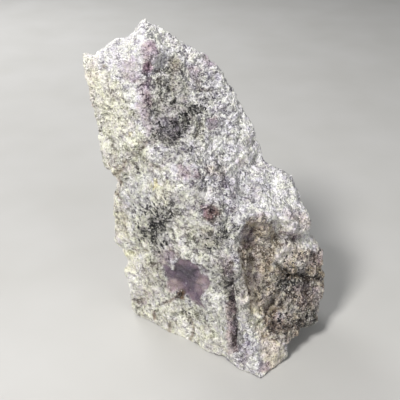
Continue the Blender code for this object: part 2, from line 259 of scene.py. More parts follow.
# Dark places: painted shade in the broken-out bed, the brown hollow, the crevice and the creases, and dark
# rock such as the black spot
PATCHES["shade"] = (
    # Top facet and ridge
    (0.25, 3, 3, (166, 44), (174, 44), (176, 54), (168, 52)),
    # Left face
    (0.3, 3, 3, (122, 74), (134, 72), (136, 90), (124, 92)),
    # Bed broken out beside the ridge
    (0.3, 4, 4, (164, 66), (180, 64), (184, 84), (186, 104), (198, 112), (190, 134), (178, 142),
     (158, 142), (149, 128), (148, 90)),
    (0.6, 4, 3, (140, 88), (164, 88), (178, 94), (186, 106), (176, 111), (160, 107), (146, 105)),
    (0.3, 4, 3, (170, 74), (180, 76), (190, 94), (196, 112), (180, 116), (178, 100)),
    (0.35, 2, 2, (140, 60), (150, 60), (150, 72), (142, 74)),
    (0.9, 3, 3, (150, 130), (162, 126), (174, 130), (184, 134), (180, 143), (166, 146), (153, 140)),
    (0.85, 2, 3, (205, 101), (206, 108), (194, 118), (186, 133), (181, 132), (181, 122), (191, 109)),
    (0.6, 2, 2, (168, 58), (176, 56), (178, 70), (171, 70)),
    (0.3, 2, 2, (148, 76), (155, 76), (156, 85), (149, 86)),
    (0.6, 2, 2, (164, 82), (172, 74), (182, 78), (178, 92), (164, 98)),
    (0.7, 3, 3, (167, 68), (181, 68), (192, 90), (187, 102), (172, 88)),
    (0.9, 3, 3, (180, 106), (198, 111), (193, 125), (182, 121)),
    (0.4, 3, 3, (186, 134), (202, 136), (200, 148), (186, 147)),
    (0.55, 4, 4, (148, 94), (174, 94), (176, 112), (158, 124), (150, 130)),
    # Right face
    (0.3, 3, 3, (194, 78), (214, 76), (216, 90), (198, 92)),
    (0.3, 3, 3, (204, 108), (216, 108), (218, 124), (206, 126)),
    (0.15, 4, 4, (184, 130), (200, 132), (234, 134), (234, 144), (200, 146)),
    (0.35, 2, 3, (226, 138), (247, 139), (245, 149), (226, 148)),
    (0.45, 2, 3, (206, 96), (216, 94), (217, 105), (208, 106)),
    # Swell and its brow
    (0.35, 3, 3, (242, 182), (264, 182), (262, 196), (250, 204), (240, 202)),
    # Waist
    (0.4, 4, 4, (168, 144), (196, 142), (202, 166), (186, 166), (172, 160)),
    (0.3, 3, 3, (142, 148), (152, 148), (153, 158), (143, 158)),
    (0.5, 3, 3, (190, 184), (202, 182), (204, 198), (192, 200)),
    (0.35, 4, 4, (118, 150), (146, 146), (142, 180), (132, 190), (122, 182)),
    (0.55, 2, 2, (192, 166), (200, 167), (206, 184), (197, 186)),
    (0.4, 2, 2, (214, 160), (224, 164), (222, 176), (212, 170)),
    (0.4, 2, 2, (196, 192), (203, 194), (203, 206), (196, 205)),
    (0.6, 3, 3, (158, 151), (184, 152), (184, 163), (162, 164)),
    (0.2, 5, 4, (113, 182), (150, 180), (153, 207), (117, 209)),
    (0.5, 3, 3, (174, 190), (185, 190), (184, 206), (174, 206)),
    (0.65, 3, 3, (193, 187), (207, 187), (207, 203), (194, 203)),
    # Around the black spot
    (1.0, 3, 3.5, (149, 215), (158, 212), (167, 217), (166, 230), (158, 240), (151, 239), (147, 233),
     (138, 233), (139, 227), (147, 224)),
    (0.5, 5, 5, (138, 212), (164, 206), (178, 216), (172, 240), (158, 250), (142, 243)),
    (0.55, 2, 3, (172, 192), (184, 196), (178, 214), (166, 214)),
    (0.4, 2, 2, (186, 230), (194, 232), (192, 240), (185, 238)),
    (0.4, 2, 2, (117, 238), (130, 242), (132, 247), (118, 244)),
    # Between the black spot and the hollow
    (0.3, 3, 3, (224, 262), (242, 262), (246, 290), (232, 292)),
    (0.8, 2, 2, (201, 206), (216, 201), (220, 215), (208, 221)),
    (1.0, 3, 3, (204, 209), (220, 207), (222, 220), (210, 224)),
    (0.5, 3, 3, (212, 230), (234, 230), (236, 238), (230, 244), (214, 242)),
    (0.75, 3, 3, (198, 233), (216, 233), (222, 252), (206, 256)),
    (0.7, 3, 3, (202, 262), (228, 258), (233, 282), (226, 290), (210, 276)),
    (0.3, 5, 6, (184, 200), (204, 196), (238, 226), (236, 262), (200, 262), (178, 232)),
    (0.6, 3, 3, (229, 222), (243, 224), (241, 242), (230, 242)),
    (0.85, 3, 3, (212, 266), (234, 265), (236, 295), (222, 294)),
    (0.6, 3, 3, (212, 202), (224, 202), (226, 222), (214, 224)),
    (0.85, 3, 3, (203, 231), (232, 231), (232, 243), (206, 243)),
    (0.9, 3, 3, (222, 268), (240, 268), (240, 294), (228, 296)),
    # Low left
    (0.25, 4, 4, (146, 246), (158, 246), (162, 286), (148, 290)),
    (0.2, 4, 4, (140, 290), (150, 290), (152, 304), (142, 310)),
    (0.3, 3, 4, (166, 296), (186, 302), (200, 304), (198, 316), (176, 310)),
    (0.5, 3, 3, (196, 303), (207, 303), (208, 316), (198, 317)),
    (0.3, 2, 2, (184, 307), (192, 311), (192, 322), (184, 316)),
    (0.3, 5, 4, (194, 306), (226, 309), (226, 326), (198, 324)),
    (0.3, 5, 4, (142, 272), (168, 282), (186, 300), (150, 296)),
    (0.5, 4, 4, (146, 266), (162, 264), (178, 294), (162, 296)),
    (0.45, 3, 3, (204, 276), (218, 276), (220, 292), (206, 292)),
    # Brown hollow and lobe
    (0.5, 3, 3, (248, 250), (270, 240), (286, 234), (286, 246), (272, 254), (252, 264)),
    (0.75, 2.5, 3, (256, 274), (266, 272), (268, 292), (262, 302), (256, 294)),
    (0.35, 3, 3, (234, 272), (246, 274), (248, 290), (238, 292)),
    (0.4, 2, 2, (254, 318), (264, 318), (264, 330), (256, 331)),
    (0.6, 1.5, 1.5, (245, 240), (251, 240), (252, 249), (247, 254), (243, 250)),
    (0.2, 3, 3, (292, 264), (316, 260), (321, 266), (316, 275), (292, 272)),
    (0.85, 1.5, 2, (277, 263), (286, 267), (300, 272), (322, 275), (322, 283), (300, 283), (284, 284),
     (277, 274)),
    (0.35, 3, 3, (288, 286), (320, 285), (322, 308), (304, 308), (290, 304)),
    (0.6, 3, 3, (286, 308), (308, 306), (318, 312), (306, 322), (286, 320)),
    (0.9, 3, 3, (268, 272), (284, 274), (304, 272), (306, 288), (286, 294), (270, 286)),
    (0.65, 2, 3, (266, 328), (276, 326), (290, 316), (310, 308), (316, 314), (308, 327), (292, 334),
     (284, 344), (270, 338)),
    (0.5, 3, 3, (266, 282), (300, 284), (300, 305), (268, 304)),
    (0.9, 3, 3, (292, 308), (316, 308), (316, 328), (295, 329)),
    (0.8, 3, 3, (277, 294), (293, 295), (293, 307), (278, 308)),
    (1.0, 3, 3, (281, 272), (298, 273), (318, 273), (319, 287), (300, 288), (283, 287)),
    (0.4, 3, 3, (307, 246), (322, 249), (323, 266), (308, 265)),
    (0.4, 3, 4, (224, 248), (264, 248), (266, 262), (226, 262)),
    (0.3, 3, 3, (308, 246), (324, 249), (324, 264), (308, 264)),
    (0.5, 2, 3, (272, 236), (304, 234), (304, 243), (274, 248)),
    # Groove and front foot
    (0.25, 3, 4, (210, 316), (224, 318), (226, 336), (214, 336)),
    (0.35, 3, 3, (216, 300), (228, 298), (231, 318), (218, 322)),
    (0.7, 3, 3, (228, 304), (248, 302), (250, 316), (232, 320)),
    (0.8, 2, 2, (233, 330), (245, 332), (244, 347), (234, 347)),
    (0.7, 1.5, 1.5, (228, 266), (234, 270), (235, 300), (240, 318), (240, 342), (234, 343), (231, 320),
     (229, 298)),
    (0.5, 2, 2, (276, 346), (286, 346), (284, 360), (277, 360)),
    (0.9, 3, 3, (226, 304), (240, 304), (241, 319), (228, 320)),
    (1.0, 2, 2, (226, 303), (237, 303), (239, 320), (228, 320)),
)
# Purple and wine-coloured mica
PATCHES["purple"] = (
    # Top facet and ridge
    (0.75, 2.5, 3, (139, 48), (148, 42), (156, 40), (159, 52), (153, 60), (143, 60)),
    (0.6, 2, 2, (201, 51), (211, 54), (216, 66), (208, 68)),
    # Left face
    (0.45, 4, 4, (118, 66), (132, 58), (142, 64), (140, 80), (124, 82)),
    # Bed broken out beside the ridge
    (1.0, 2, 2, (141, 63), (151, 60), (154, 69), (147, 76), (142, 72)),
    (0.55, 3, 3, (138, 86), (148, 80), (152, 100), (152, 126), (148, 138), (141, 124), (137, 104)),
    (0.15, 4, 3, (150, 118), (164, 112), (178, 120), (176, 140), (158, 140)),
    (0.5, 3, 3, (188, 64), (200, 70), (202, 82), (192, 80)),
    # Right face
    (1.0, 2, 2, (207, 118), (217, 116), (221, 127), (210, 131)),
    (0.3, 2, 3, (244, 132), (253, 134), (254, 144), (246, 146)),
    # Swell and its brow
    (0.3, 2, 3, (236, 160), (246, 158), (248, 168), (239, 170)),
    (0.4, 3, 3, (282, 210), (298, 204), (306, 214), (300, 230), (292, 236), (286, 226)),
    (0.2, 6, 5, (216, 174), (240, 176), (260, 178), (260, 200), (226, 204)),
    (0.2, 3, 3, (246, 214), (270, 211), (274, 225), (250, 228)),
    # Waist
    (0.6, 2, 3, (192, 168), (200, 168), (202, 178), (194, 180)),
    (0.6, 3, 3, (176, 166), (192, 164), (190, 178), (178, 180)),
    # Between the black spot and the hollow
    (1.0, 1.5, 2, (202, 206), (214, 202), (219, 214), (212, 221), (203, 217)),
    (0.45, 3, 3, (217, 250), (230, 254), (234, 272), (224, 276)),
    # Low left
    (0.5, 3, 3, (156, 252), (172, 244), (178, 254), (172, 264), (158, 264)),
    (0.3, 4, 4, (134, 284), (150, 284), (150, 306), (136, 306)),
    # Brown hollow and lobe
    (0.5, 2, 2, (290, 232), (298, 230), (297, 238), (291, 240)),
    (0.45, 3, 3, (306, 246), (322, 249), (321, 266), (307, 264)),
    (0.35, 4, 4, (294, 284), (320, 284), (320, 304), (296, 306)),
    (0.45, 2, 3, (241, 228), (250, 227), (253, 245), (244, 250)),
    (0.3, 3, 4, (266, 318), (288, 314), (286, 330), (268, 332)),
    (0.15, 3, 4, (248, 262), (262, 270), (262, 288), (250, 290)),
    # Groove and front foot
    (0.7, 2, 2, (260, 361), (270, 362), (270, 371), (259, 371)),
    (0.55, 2, 2, (225, 302), (233, 300), (238, 346), (237, 352), (227, 354), (226, 330)),
    (0.3, 4, 4, (236, 342), (250, 344), (250, 366), (238, 362)),
)
# The smooth patch of glassy purple mica low on the left
PATCHES["glassy"] = (
    (1.0, 1.2, 1.8, (160, 263), (166, 265), (174, 271), (175, 262), (180, 258), (189, 260), (197, 267),
     (200, 274), (210, 277), (209, 286), (205, 293), (200, 296), (203, 308), (196, 304), (188, 295),
     (180, 291), (173, 290), (168, 283), (164, 274)),
)
# Rosy edges of the glassy patch
PATCHES["rosy"] = (
    (0.15, 5, 5, (138, 268), (158, 262), (164, 276), (162, 294), (144, 292)),
    (0.9, 2, 2, (168, 279), (176, 280), (183, 284), (180, 291), (171, 291), (166, 285)),
    (0.6, 3, 2, (193, 274), (206, 278), (208, 287), (200, 292), (191, 282)),
)
# Dark violet mica
PATCHES["slate"] = (
    (0.5, 4, 3, (151, 122), (166, 116), (182, 124), (180, 140), (162, 142)),
    (0.85, 2, 1.5, (208, 119), (217, 118), (219, 127), (210, 129)),
    (0.25, 3, 3, (156, 252), (172, 244), (178, 254), (172, 264), (158, 264)),
    (0.9, 3, 2.5, (175, 268), (186, 264), (196, 269), (198, 279), (192, 288), (182, 286), (177, 275)),
    (0.5, 2, 2, (160, 264), (168, 267), (178, 276), (172, 279), (165, 274)),
    (0.5, 1.5, 1.5, (186, 288), (194, 290), (202, 304), (196, 302)),
    (0.7, 1.5, 1.5, (197, 265), (205, 266), (210, 272), (205, 273)),
    (0.55, 1.2, 1.2, (229, 270), (233, 271), (234, 300), (239, 318), (239, 338), (235, 340), (232, 320),
     (230, 298)),
)
# Rusty stains, and painted shade in the crevice under the dark lobe, in the dark pocket of the hollow and
# along the cracks
PATCHES["stain_and_shade"] = (
    (0.9, 1, 1, (102, 65), (105, 65), (105, 68), (102, 68)),
    (0.6, 2, 2, (204, 207), (215, 203), (220, 214), (214, 223), (205, 219)),
    (1.0, 1.5, 1.5, (178, 290), (183, 290), (185, 298), (179, 299)),
    (0.8, 1.5, 1, (152, 311), (155, 311), (156, 320), (153, 320)),
    (0.6, 2, 1.5, (168, 322), (172, 322), (171, 333), (167, 333)),
    # Painted shade in the crevice under the dark lobe, in rusty brown
    (0.6, 1.5, 1.5, (278, 266), (288, 269), (300, 274), (322, 276), (322, 282), (300, 282), (286, 282),
     (278, 274)),
    (0.5, 1.5, 2.5, (264, 321), (276, 324), (292, 320), (306, 316), (304, 324), (288, 332), (270, 332)),
    (0.4, 1.5, 1.5, (245, 238), (250, 239), (251, 248), (247, 252), (244, 248)),
    (0.17, 4, 4, (246, 222), (270, 222), (280, 250), (324, 262), (328, 300), (300, 330), (264, 320),
     (250, 290)),
    (0.5, 2, 2, (263, 347), (269, 346), (270, 357), (265, 358)),
    (0.3, 2, 2, (227, 300), (236, 300), (238, 322), (230, 322)),
)
# Violet tints
PATCHES["violet"] = (
    (0.25, 4, 4, (126, 58), (140, 58), (142, 106), (130, 104)),
    (0.25, 5, 4, (150, 104), (178, 104), (182, 130), (152, 130)),
    (0.2, 5, 5, (206, 66), (218, 74), (236, 116), (236, 134), (222, 134), (214, 100)),
    (0.3, 4, 4, (216, 132), (240, 132), (240, 164), (220, 166)),
    (0.5, 4, 5, (222, 178), (252, 176), (278, 186), (276, 206), (236, 208), (222, 196)),
    (0.35, 4, 4, (124, 174), (150, 174), (152, 196), (140, 216), (122, 214)),
    (0.2, 5, 5, (192, 298), (226, 302), (230, 336), (206, 334)),
    (0.3, 4, 3, (198, 266), (213, 268), (214, 286), (200, 286)),
    (0.4, 4, 3, (236, 330), (250, 332), (252, 354), (238, 354)),
)
# The whitest crests: the whitest mica, and painted light that brightens the top, the swell and its brow, the
# left edge and the walls of the brown hollow
PATCHES["rime_and_highlight"] = (
    # Top facet and ridge
    (0.9, 2, 2, (194, 46), (205, 48), (206, 57), (196, 56)),
    (0.5, 4, 3, (150, 28), (170, 30), (176, 44), (158, 46)),
    (0.45, 2, 2, (80, 50), (88, 52), (90, 72), (83, 72)),
    (0.2, 2, 2, (151, 50), (166, 50), (168, 66), (154, 69)),
    (0.2, 2, 2, (149, 53), (162, 53), (162, 69), (150, 69)),
    # Left face
    (0.3, 4, 4, (98, 54), (140, 54), (140, 74), (104, 76)),
    (0.25, 3, 3, (112, 126), (138, 128), (136, 136), (112, 136)),
    # Bed broken out beside the ridge
    (0.25, 3, 3, (188, 70), (200, 74), (200, 88), (189, 88)),
    # Right face
    (0.35, 4, 3, (242, 146), (258, 146), (258, 162), (244, 160)),
    (0.25, 5, 4, (206, 118), (238, 122), (238, 160), (210, 158)),
    # Swell and its brow
    (1.0, 4, 3, (264, 188), (292, 186), (297, 205), (268, 208)),
    (0.6, 2, 2, (236, 208), (250, 202), (276, 204), (290, 218), (301, 221), (299, 232), (284, 230),
     (267, 213), (248, 214), (239, 220)),
    (0.3, 5, 4, (232, 178), (256, 174), (258, 204), (240, 212), (232, 204)),
    (0.25, 3, 3, (250, 210), (272, 210), (276, 224), (254, 226)),
    (0.15, 5, 4, (248, 176), (276, 172), (298, 200), (296, 208), (256, 204)),
    (0.35, 3, 3, (262, 166), (272, 168), (272, 182), (262, 181)),
    # Waist
    (0.35, 3, 3, (204, 192), (222, 190), (220, 207), (204, 208)),
    # Around the black spot
    (0.4, 2, 2, (160, 234), (171, 233), (170, 248), (161, 248)),
    (0.3, 3, 3, (134, 202), (148, 202), (148, 215), (136, 215)),
    (0.3, 3, 3, (180, 204), (190, 205), (194, 228), (186, 229)),
    # Low left
    (0.3, 3, 3, (202, 250), (224, 250), (222, 262), (204, 263)),
    (0.3, 3, 3, (207, 297), (223, 297), (222, 312), (209, 312)),
    (0.4, 3, 3, (122, 256), (140, 256), (144, 296), (130, 300)),
    # Brown hollow and lobe
    (0.9, 3, 3, (300, 230), (313, 230), (316, 250), (303, 250)),
    (0.2, 2, 2, (236, 228), (250, 226), (249, 240), (237, 243)),
    (0.5, 2, 2, (294, 260), (304, 260), (304, 271), (295, 271)),
    (0.2, 3, 3, (262, 294), (276, 294), (276, 308), (263, 308)),
    # Groove and front foot
    (0.3, 4, 3, (200, 338), (230, 340), (236, 356), (208, 354)),
    (0.35, 4, 3, (252, 344), (268, 342), (268, 368), (254, 370)),
)
# Black specks
PATCHES["specks"] = (
    (0.8, 3, 3, (150, 124), (164, 120), (182, 124), (184, 138), (168, 144), (152, 140)),
    (0.9, 2, 3, (194, 102), (206, 98), (208, 110), (196, 118), (186, 130), (178, 128), (180, 116)),
    (1.2, 3, 4, (149, 215), (158, 211), (167, 216), (166, 230), (158, 240), (152, 240), (149, 234),
     (140, 233), (140, 228), (148, 226)),
    (0.55, 5, 4, (136, 206), (164, 200), (178, 212), (172, 236), (158, 254), (140, 244)),
    (0.35, 3, 3, (198, 233), (216, 233), (222, 252), (206, 256)),
    (0.5, 4, 4, (214, 224), (240, 226), (236, 242), (218, 242)),
    (0.5, 2, 3, (182, 308), (192, 312), (192, 324), (184, 320)),
    (0.35, 3, 3, (286, 252), (320, 250), (320, 278), (284, 274)),
    (0.25, 3, 3, (262, 312), (288, 312), (286, 336), (268, 334)),
    (0.7, 3, 3, (282, 270), (298, 271), (298, 287), (284, 287)),
)

# What the skin and the flakes are painted with: the kinds of rock, and how far a place stands out
MASKS = (*PATCHES, "relief")


@dataclass
class Crack:
    """A narrow split in the skin along a line of the photograph's pixels; sizes in millimetres.

    strength is how much of the kind of rock that mask names is painted along it; the default mask darkens
    the crack with rusty stain and painted shade.
    """

    line: tuple
    depth: float
    half_width: float
    strength: float = 0.4
    mask: str = "stain_and_shade"


CRACKS = (
    Crack(((112, 172), (117, 173), (121, 170), (124, 167), (127, 160)), 0.5, 0.4, 0.6),
    Crack(((118, 176), (121, 183), (118, 189)), 0.4, 0.4, 0.7),
    Crack(((139, 142), (144, 141), (147, 142), (144, 147), (139, 150)), 0.35, 0.4, 0.6),
    Crack(((151, 163), (156, 166), (161, 169)), 0.4, 0.35, 0.5),
    Crack(((113, 192), (118, 194), (121, 199)), 0.6, 0.45, 0.7),
    Crack(((120, 203), (122, 212), (124, 222), (126, 232), (130, 244)), 0.3, 0.5, 0.3),
    Crack(((121, 240), (126, 243), (132, 249), (140, 253), (147, 251)), 0.5, 0.4, 0.3),
    Crack(((141, 262), (148, 265), (157, 264)), 0.4, 0.4, 0.3),
    Crack(((172, 250), (177, 254), (182, 261)), 0.4, 0.35, 0.4),
    Crack(((197, 265), (202, 266), (206, 270), (207, 276)), 0.6, 0.45, 0.2),
    Crack(((164, 303), (170, 301), (176, 297), (181, 295)), 0.5, 0.4, 0.8),
    Crack(((133, 300), (138, 302), (143, 300)), 0.7, 0.5, 0.3),
    Crack(((190, 319), (194, 326), (192, 336), (188, 343)), 0.5, 0.35, 0.7),
    Crack(((184, 312), (189, 315), (191, 321)), 0.5, 0.4, 0.2),
    Crack(((209, 344), (216, 346), (223, 349)), 0.35, 0.4, 0.4),
    Crack(((233, 272), (233, 298), (236, 312), (237, 330), (236, 345), (230, 352)), 0.5, 0.6, 0.2),
    Crack(((244, 250), (243, 268), (247, 284), (250, 300), (251, 312)), 0.4, 0.4, 0.6),
    Crack(((276, 264), (284, 269), (294, 274), (306, 277), (320, 279)), 0.6, 0.7, 0.2),
    Crack(((150, 62), (148, 72), (149, 80)), 0.2, 0.5, 0.1),
    Crack(((176, 278), (184, 281), (192, 283), (200, 286), (206, 285)), 0.15, 0.3, 0.8, "slate"),
    Crack(((182, 270), (183, 278), (184, 285), (185, 292)), 0.1, 0.25, 0.7, "slate"),
    Crack(((188, 288), (194, 295), (200, 304)), 0.1, 0.3, 0.6, "slate"),
    Crack(((164, 303), (157, 306)), 0.3, 0.3, 0.4),
    Crack(((137, 289), (143, 291), (149, 294), (148, 300)), 0.4, 0.4, 0.2),
    Crack(((278, 306), (288, 300), (290, 292)), 0.5, 0.5, 0.4, "shade"),
    Crack(((300, 310), (308, 306), (314, 298)), 0.4, 0.4, 0.2, "shade"),
    Crack(((172, 60), (174, 68), (171, 80), (174, 90)), 0.4, 0.45, 0.3),
    Crack(((198, 78), (199, 88), (205, 90), (213, 90)), 0.4, 0.4, 0.4),
    Crack(((212, 150), (216, 155), (216, 162)), 0.35, 0.35, 0.2),
    Crack(((262, 196), (260, 206), (256, 212)), 0.3, 0.35, 0.1),
)


@dataclass
class Ledge:
    """The edge of a plate along a line of the photograph's pixels; sizes in millimetres.

    The plate is raised to the left of the line, or with a negative height to its right.
    """

    line: tuple
    height: float
    reach: float


LEDGES = (
    # The lower edge of the upper left plate
    Ledge(((146, 139), (139, 146), (134, 151), (128, 159), (123, 168), (114, 174)), -0.3, 5.0),
    # The scalloped plate low on the left
    Ledge(((168, 323), (178, 318), (188, 319), (194, 327), (192, 337), (187, 344)), -0.35, 4.0),
    # The brow of the swell over the brown hollow
    Ledge(((237, 228), (245, 219), (256, 214), (267, 216), (277, 222), (285, 231), (296, 234), (306, 230)),
          0.5, 3.0),
    # The dark lobe over the crevice
    Ledge(((276, 262), (288, 270), (300, 274), (312, 277), (324, 278)), 0.6, 3.0),
    # The front arris beside the dark crease
    Ledge(((240, 238), (236, 252), (234, 272), (234, 298), (238, 320), (239, 342)), 0.4, 2.5),
    # The cliff beside the broken-out bed
    Ledge(((147, 64), (149, 90), (149, 112), (153, 134)), -0.2, 3.0),
    # The rounded plate at the waist
    Ledge(((254, 146), (244, 152), (236, 162), (226, 168)), 0.35, 4.0),
    # The plate over the glassy patch
    Ledge(((160, 246), (172, 250), (184, 260), (198, 264), (208, 274)), 0.35, 3.0),
)


# The drop beside a ledge, as a share of its height, and the reach of the drop, as a share of the ledge's
LEDGE_DROP = 0.5
LEDGE_DROP_REACH = 0.35
# The noise by which a crack wanders, how far it does, and how much wider than the crack the darkening along
# it is, stain and painted shade
CRACK_NOISE = (1.2, 120.0)
CRACK_WANDER = 0.25
CRACK_DARKENING = 1.6

# How far apart the seeds are of the three noises that move places about, and of the cells of the plates
WANDER_STEP = 31.7
CELL_SPREAD = 17.3
# The broken relief, in millimetres. Where it is drawn is moved about by noise of this width, reach and seed
LOOSE = (3.0, 0.9, 5.0)
FINER = (1.6, 0.5, 25.0)
# Small flat faces: rise, width, seed and tilt, the first drawn loose and the second finer
PLATES = ((0.45, 5.2, 2.0, 1.0), (0.42, 2.6, 40.0, 1.2))
# Broken layers: rise, width, number of steps and seed, the first drawn loose and the second finer, and how
# much of a step is level
TERRACES = ((1.1, 10.0, 3.0, 150.0), (0.55, 5.0, 3.0, 160.0))
TREAD = 0.72
# Soft lumps: rise, width and seed
LUMPS = ((0.30, 3.6, 60.0), (0.20, 1.8, 70.0), (0.07, 1.1, 80.0))
# Fine seams: depth, width in the noise that they follow, that noise, and the noise that says where they are
SEAM_DEPTH = 0.35
SEAM_WIDTH = 0.07
SEAM_LINES = (9.0, 90.0)
SEAM_PLACES = (12.0, 95.0)
SEAM_FULL = 0.4
# How much rougher some rock is, how much of the relief the glassy patch loses, and how deep that lies
ROUGHER = {"cream": -0.2, "frost_and_light": -0.4, "brown": 0.3, "shade": 0.2}
GLASSY_CALM = 0.9
GLASSY_SINK = 0.35

# The noise by which the patches' outlines stray: share, width in millimetres and seed of each layer
STRAY_LAYERS = ((1.0, 2.4, 3.0), (0.6, 1.1, 8.0))
# The black specks gather in spots of this noise, which start and are full at these two values
SPECK_SPOTS = (1.7, 17.0)
SPECK_RANGE = (-0.5, 0.2)
# How the side that the photograph shows gives way to the rest, by the slope towards the camera
FRONT_RANGE = (-0.5, 0.0)
# Noise for the rest: how much of the stray is in it, and the share, width and seed of each layer
FIELDS = {
    "wide": (0.15, ((1.0, 19.0, 11.0), (0.5, 7.0, 13.0))),
    "middling": (0.2, ((1.0, 15.0, 57.0), (0.5, 5.0, 59.0))),
    "narrow": (0.4, ((1.0, 8.0, 91.0),)),
    "islands": (0.0, ((1.5, 12.0, 140.0),)),
    "spots": (0.0, ((1.0, 6.0, 143.0),)),
}
# Each kind of rock in the rest: its strength, where it starts and is full, and the fields that it follows
BEHIND = {
    "cream": (0.9, -0.1, 0.35, {"wide": 1.0}),
    "olive": (0.6, 0.0, 0.4, {"narrow": 1.0}),
    # Frost on these sides is painted light from above: it gathers where the skin faces up
    "frost_and_light": (0.6, 0.1, 0.5, {"upward": 1.0, "middling": 0.6}),
    "shade": (0.7, 0.15, 0.5, {"wide": -1.0}),
    "brown": (0.7, 0.25, 0.6, {"middling": 1.0}),
    "purple": (0.7, 0.45, 0.8, {"narrow": 1.0}),
    "glassy": (1.0, 0.75, 0.85, {"islands": 1.0}),
    "rosy": (0.6, 0.2, 0.5, {"narrow": 1.0}),
    "slate": (0.6, 0.3, 0.6, {"spots": 1.0}),
    "specks": (0.8, 0.3, 0.7, {"narrow": -1.0}),
    "yellow": (0.5, 0.4, 0.8, {"middling": -1.0}),
    "sand": (0.5, 0.2, 0.6, {"middling": 1.0, "wide": -1.0}),
}
# Dark violet mica is only where the narrow field is low
SLATE_RANGE = (0.0, 0.5)


def smooth_step(low, high, value):
    t = np.clip((value - low) / (high - low), 0.0, 1.0)
    return t * t * (3 - 2 * t)


def noise_at(places, size, seed):
    """Smooth noise from about -1 to 1 with lumps about as wide as size, for many places."""
    return np.array([noise.noise(p) for p in (places / size + seed).tolist()])


def layered(places, layers):
    """The sum of several layers of noise, each given by its share, width and seed."""
    return sum(share * noise_at(places, size, seed) for share, size, seed in layers)


def field_at(places, size, seed, step):
    """A direction and strength that turn slowly from place to place."""
    return np.stack([noise_at(places, size, seed + step * axis) for axis in range(3)], axis=1)


def wandered(places, size, reach, seed):
    """The same places, moved about so that what is drawn with them gets uneven outlines."""
    return places + reach * field_at(places, size, seed, WANDER_STEP)


def plates_at(places, size, seed, tilt):
    """A broken surface of small flat faces: each cell has its own level and slope, about -1 to 1."""
    height = np.empty(len(places))
    for i, p in enumerate((places / size + seed).tolist()):
        middle = noise.voronoi(p)[1][0]
        own = noise.cell_vector(middle * CELL_SPREAD) * 2 - Vector((1, 1, 1))
        height[i] = 0.5 * own.x + tilt * own.dot(Vector(p) - middle)
    return height


def terraces_at(places, size, steps, seed):
    """Broken layers: level treads with short risers between them, whose edges wander over the stone."""
    level = steps * noise_at(places, size, seed)
    tread = np.floor(level)
    return (tread + smooth_step(TREAD, 1.0, level - tread)) / steps


def pixels_of(places):
    """Where places of the stone, in millimetres, are in the photograph."""
    seen = places - EYE
    depth = seen @ FORWARD
    across = PICTURE / 2 + FOCAL * seen[:, 0] / depth
    down = PICTURE / 2 - FOCAL * (seen @ UPWARD) / depth
    return np.stack((across, down), axis=1)


def sight(pixel):
    """The direction in which the photograph's camera sees a pixel."""
    across = (pixel[0] - PICTURE / 2) / FOCAL
    up = (PICTURE / 2 - pixel[1]) / FOCAL
    return Vector(FORWARD + across * np.array((1.0, 0.0, 0.0)) + up * UPWARD).normalized()


def line_distance(pixels, line, closed):
    """Distance to a line of pixels, and which side of it each pixel is on (positive to its left)."""
    ends = np.array(line, float)
    starts, stops = (ends, np.roll(ends, -1, axis=0)) if closed else (ends[:-1], ends[1:])
    best = np.full(len(pixels), np.inf)
    side = np.zeros(len(pixels))
    for a, b in zip(starts, stops):
        along = b - a
        offset = pixels - a
        t = np.clip(offset @ along / (along @ along), 0, 1)
        gap = np.linalg.norm(offset - t[:, None] * along, axis=1)
        nearer = gap < best
        best[nearer] = gap[nearer]
        cross = along[1] * offset[:, 0] - along[0] * offset[:, 1]
        side[nearer] = np.sign(cross[nearer])
    return best, side


def inside_of(pixels, outline):
    """Distance inside an outline of pixels, negative outside it."""
    inside = np.zeros(len(pixels), bool)
    x, y = pixels.T
    ends = np.array(outline, float)
    for a, b in zip(ends, np.roll(ends, -1, axis=0)):
        crosses = (a[1] > y) != (b[1] > y)
        rise = (b[1] - a[1]) or 1.0
        inside ^= crosses & (x < (b[0] - a[0]) * (y - a[1]) / rise + a[0])
    gap, _ = line_distance(pixels, outline, True)
    return np.where(inside, gap, -gap)


def unit(vectors):
    return vectors / np.linalg.norm(vectors, axis=1)[:, None]


def added(name, data):
    """A new object in the scene."""
    piece = bpy.data.objects.new(name, data)
    bpy.context.scene.collection.objects.link(piece)
    return piece


def table_of(parts, name, width, kind=float):
    """A property of all parts of a mesh, with a row for each part."""
    flat = np.empty(len(parts) * width, kind)
    parts.foreach_get(name, flat)
    return flat.reshape(-1, width)


def places_of(mesh):
    return table_of(mesh.vertices, "co", 3) / MM


def set_places(mesh, places):
    mesh.vertices.foreach_set("co", (places * MM).ravel())
    mesh.update()


def outward_at(mesh):
    return table_of(mesh.vertex_normals, "vector", 3)


def fine_skin(node):
    """The solid's skin in small even faces, with the edges of its facets worn a little."""
    copy = added("skin_draft", node.data.copy())
    weld = copy.modifiers.new("weld", "WELD")
    weld.merge_threshold = WELD * MM
    remesh = copy.modifiers.new("remesh", "REMESH")
    remesh.mode = "VOXEL"
    remesh.voxel_size = SKIN_STEP * MM
    wear = copy.modifiers.new("wear", "SMOOTH")
    wear.factor = SKIN_WEAR
    wear.iterations = SKIN_PASSES
    evaluated = copy.evaluated_get(bpy.context.evaluated_depsgraph_get())
    mesh = bpy.data.meshes.new_from_object(evaluated)
    bpy.data.objects.remove(copy)
    mesh.name = "lepidolite_skin"
    mesh.materials.clear()
    return mesh


def unwrap(piece):
    """Lays the smooth skin out flat, before the relief is on it."""
    bpy.context.view_layer.objects.active = piece
    piece.select_set(True)
    piece.data.uv_layers.new(name="OFBake")
    bpy.ops.object.mode_set(mode="EDIT")
    bpy.ops.mesh.select_all(action="SELECT")
    bpy.ops.uv.smart_project(angle_limit=math.radians(ISLAND_BEND), island_margin=ISLAND_GAP)
    bpy.ops.object.mode_set(mode="OBJECT")
    piece.select_set(False)


